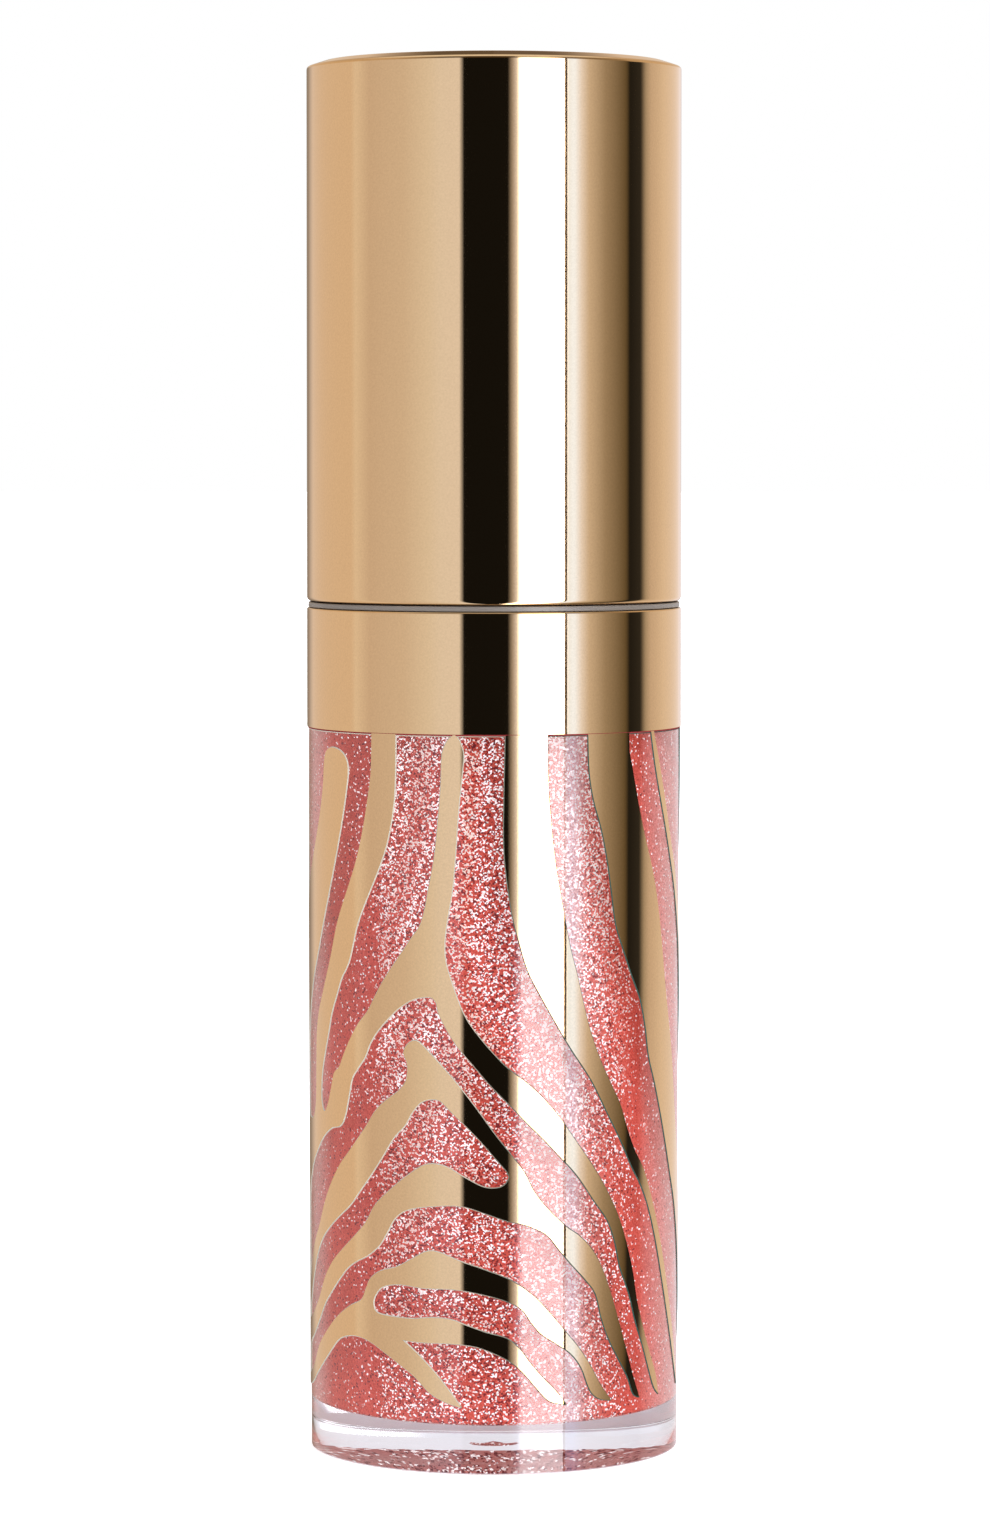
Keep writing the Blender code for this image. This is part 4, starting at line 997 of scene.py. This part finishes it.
# Light round the tube: azimuth in degrees (0 towards the camera, growing to the right), colour, brightness
STUDIO = [
    (-180, (0.34, 0.28, 0.22), 1.0), (-163, (0.34, 0.28, 0.22), 1.0),
    (-148, (0.88, 0.79, 0.74), 1.0), (-98, (0.90, 0.82, 0.80), 1.0), (-94, (0.96, 0.94, 0.98), 1.0),
    (-82, (0.79, 0.74, 0.77), 1.0), (-57, (0.84, 0.82, 0.88), 1.0),
    (-41, (0.94, 0.98, 1.11), 1.0), (-33, (0.98, 1.05, 1.27), 1.0), (-21, (1.0, 1.07, 1.32), 1.0),
    (-18.6, (0.01, 0.01, 0.01), 1.0), (8.6, (0.01, 0.01, 0.01), 1.0), (11.0, (0.45, 0.44, 0.47), 1.0),
    (14.0, (1.0, 1.1, 1.5), 1.0), (17.5, (1.0, 1.0, 1.05), 8.0), (43.6, (1.0, 1.0, 1.05), 8.0),
    (45.2, (1.2, 1.6, 2.6), 1.0), (50.0, (1.3, 1.8, 3.1), 1.0),
    (55.0, (1.07, 1.2, 1.65), 1.0), (60.0, (0.80, 0.78, 0.82), 1.0), (72.0, (0.44, 0.40, 0.36), 1.0),
    (88.0, (0.17, 0.14, 0.09), 1.0), (91.5, (0.02, 0.02, 0.02), 1.0), (102, (0.04, 0.04, 0.04), 1.0),
    (107, (0.52, 0.49, 0.47), 1.0), (112, (0.75, 0.69, 0.69), 1.0), (128, (0.93, 0.87, 0.85), 1.0),
    (150, (1.0, 0.94, 0.94), 1.0), (163, (1.05, 1.0, 1.05), 1.0), (180, (0.6, 0.5, 0.45), 1.0)]
# A ramp holds values up to 1, so the strips go in at a tenth and are scaled up again
STUDIO_SCALE = 10.0
# A narrow black bar between the white panel and the cream one
BAR_AZIMUTH = 44.5
BAR_HALF_WIDTH = 0.85
BAR_COLOUR = (0.006, 0.004, 0.003, 1.0)
# Light a little above the tube, which the edge and the bevel of its top catch
SHADE, DUSK, CREAM = (0.14, 0.10, 0.06, 1.0), (0.10, 0.07, 0.04, 1.0), (0.70, 0.56, 0.42, 1.0)
CEILING = [
    (-180, SHADE), (-174, SHADE), (-160, CREAM), (-70, CREAM), (-32, DUSK), (20, DUSK),
    (70, (0.30, 0.23, 0.16, 1.0)), (120, CREAM), (166, CREAM), (176, SHADE), (180, SHADE)]
CEILING_SPAN = [(0.09, grey(0.0)), (0.16, grey(0.92)), (0.70, grey(0.92)), (0.85, grey(0.0))]
# Behind the tube the ceiling turns light again towards the horizon
HORIZON_COLOUR = (0.80, 0.64, 0.48, 1.0)
HORIZON_SPAN = [(0.36, grey(1.0)), (0.50, grey(0.0))]
ZENITH_COLOUR = (1.0, 1.0, 1.02, 1.0)
ZENITH_START, ZENITH_END = 0.60, 0.85
# What the clear wall lets through from behind the tube
BACKDROP_AZIMUTH = 105.0
BACKDROP_COLOUR = (0.85, 0.82, 0.88, 1.0)


def studio_strips(tree, azimuth, turn):
    """The strips of light round the tube with the narrow bar in them."""
    stops = []
    for angle, colour, strength in STUDIO:
        level = strength / STUDIO_SCALE
        stops.append((turn_share(angle), tuple(c * level for c in colour) + (1.0,)))
    off_bar = maths(tree, "ABSOLUTE", maths(tree, "SUBTRACT", azimuth, math.radians(BAR_AZIMUTH)))
    bar = maths(tree, "LESS_THAN", off_bar, math.radians(BAR_HALF_WIDTH))
    strips = mix_colour(tree, bar, ramp(tree, turn, stops), BAR_COLOUR)
    return vector_maths(tree, "SCALE", strips, scale=STUDIO_SCALE)


def studio_ceiling(tree, direction, turn):
    """The light above the tube by azimuth, light near the horizon behind it."""
    upper = ramp(tree, turn, [(turn_share(angle), colour) for angle, colour in CEILING])
    low = ramp(tree, direction["Z"], HORIZON_SPAN)
    rear = rise(tree, direction["Y"], 0.0, 0.06)
    return mix_colour(tree, maths(tree, "MULTIPLY", low, rear), upper, HORIZON_COLOUR)


def make_world():
    """Strips round the tube; mirrors also see a ceiling, clear walls a backdrop, the camera plain white."""
    world = bpy.data.worlds.new("studio")
    bpy.context.scene.world = world
    world.use_nodes = True
    tree = world.node_tree
    direction = split_vector(tree, node(tree, "ShaderNodeTexCoord").outputs["Generated"])
    azimuth, turn = azimuth_of(tree, direction)
    path = node(tree, "ShaderNodeLightPath").outputs
    straight = maths(tree, "SUBTRACT", 1.0, path["Is Transmission Ray"])
    mirrored = maths(tree, "MULTIPLY", path["Is Glossy Ray"], straight)
    strips = studio_strips(tree, azimuth, turn)
    zenith = node(tree, "ShaderNodeMapRange", interpolation_type="SMOOTHSTEP")
    zenith.inputs["From Min"].default_value = ZENITH_START
    zenith.inputs["From Max"].default_value = ZENITH_END
    tree.links.new(maths(tree, "ABSOLUTE", direction["Z"]), zenith.inputs["Value"])
    lit = mix_colour(tree, zenith.outputs["Result"], strips, ZENITH_COLOUR)
    above = ramp(tree, direction["Z"], CEILING_SPAN)
    ceiling = studio_ceiling(tree, direction, turn)
    lit = mix_colour(tree, maths(tree, "MULTIPLY", above, mirrored), lit, ceiling)
    below = rise(tree, maths(tree, "MULTIPLY", direction["Z"], -1.0), 0.30, 0.38)
    lit = mix_colour(tree, maths(tree, "MULTIPLY", below, mirrored), lit, strips)
    behind = maths(tree, "GREATER_THAN", maths(tree, "ABSOLUTE", azimuth), math.radians(BACKDROP_AZIMUTH))
    through = maths(tree, "MULTIPLY", behind, path["Is Transmission Ray"])
    lit = mix_colour(tree, through, lit, BACKDROP_COLOUR)
    seen = mix_colour(tree, path["Is Camera Ray"], lit, grey(1.0))
    tree.links.new(seen, tree.nodes["Background"].inputs["Color"])


FLOOR_RADIUS = 6.0
FLOOR_DROP = 0.02
FLOOR_GLOW = 0.55
# Painted shade seen in the clear base: through the plastic the floor loses its glow and turns lilac grey
FLOOR_SHADE_THROUGH_PLASTIC = (0.76, 0.72, 0.78, 1.0)


def make_floor():
    """A pale floor that glows a little, so that it stays as white as the background; seen through the clear
    plastic it shows painted shade in lilac grey instead.
    """
    work = bmesh.new()
    bmesh.ops.create_circle(work, cap_ends=True, segments=96, radius=FLOOR_RADIUS)
    mesh = mesh_from(work, "floor")
    made = bpy.data.objects.new("floor", mesh)
    bpy.context.scene.collection.objects.link(made)
    look, tree, shader = new_material("pale_floor")
    tone = mix_colour(tree, noise(tree, object_coordinates(tree, 40.0), 1.0, 3.0), grey(0.93), grey(0.95))
    through = node(tree, "ShaderNodeLightPath").outputs["Is Transmission Ray"]
    tree.links.new(mix_colour(tree, through, tone, FLOOR_SHADE_THROUGH_PLASTIC), shader.inputs["Base Color"])
    shader.inputs["Roughness"].default_value = 0.9
    shader.inputs["Specular IOR Level"].default_value = 0.0
    shader.inputs["Emission Color"].default_value = grey(1.0)
    glow = maths(tree, "MULTIPLY_ADD", through, -FLOOR_GLOW, FLOOR_GLOW)
    tree.links.new(glow, shader.inputs["Emission Strength"])
    mesh.materials.append(look)
    made.location.z = -FLOOR_DROP * MM
    made.visible_glossy = False
    return made


# The camera stands well back and looks a little down; its frame is shifted to centre the tube
CAMERA_DISTANCE = 295.0
CAMERA_HEIGHT = 53.5
CAMERA_PITCH = 1.7
SENSOR_WIDTH = 36.0
LENS = 130.1284
SHIFT_X = 0.000655
SHIFT_Y = -0.101107


def make_camera():
    data = bpy.data.cameras.new("camera")
    made = bpy.data.objects.new("camera", data)
    bpy.context.scene.collection.objects.link(made)
    data.sensor_fit = "AUTO"
    data.sensor_width = SENSOR_WIDTH
    data.lens = LENS
    data.shift_x = SHIFT_X
    data.shift_y = SHIFT_Y
    data.clip_start = 0.01
    data.clip_end = 50.0
    made.location = (0.0, -CAMERA_DISTANCE * MM, CAMERA_HEIGHT * MM)
    made.rotation_euler = (math.pi / 2 - math.radians(CAMERA_PITCH), 0, 0)
    bpy.context.scene.camera = made


def build():
    bpy.context.scene.view_settings.view_transform = "Standard"
    gold = gold_material("polished_gold", CAP_GRAIN)
    make_vial(glass_material())
    make_gloss(gloss_material())
    make_foil(foil_material())
    make_collar(gold)
    make_ring(plain_material("satin_ring", (0.15, 0.13, 0.11), 0.35))
    make_wiper(plain_material("wiper_soft", (0.62, 0.62, 0.61), 0.45))
    make_shell(gold)
    make_insert(plain_material("insert_moulded", (0.62, 0.61, 0.59), 0.4))
    make_weight(plain_material("turned_steel", (0.55, 0.55, 0.56), 0.35, metallic=1.0))
    make_liner(plain_material("washer_foam", (0.60, 0.60, 0.59), 0.85, grain=0.05))
    make_rod(plain_material("rod_moulded", (0.52, 0.51, 0.51), 0.3))
    core = plain_material("core_moulded", (0.85, 0.78, 0.74), 0.4)
    flock = plain_material(
        "flock_fibre", (0.52, 0.235, 0.20), 0.95, variation=0.30, grain_scale=7.0, grain=0.15)
    make_tip(core, flock)
    make_world()
    make_floor()
    make_camera()


build()
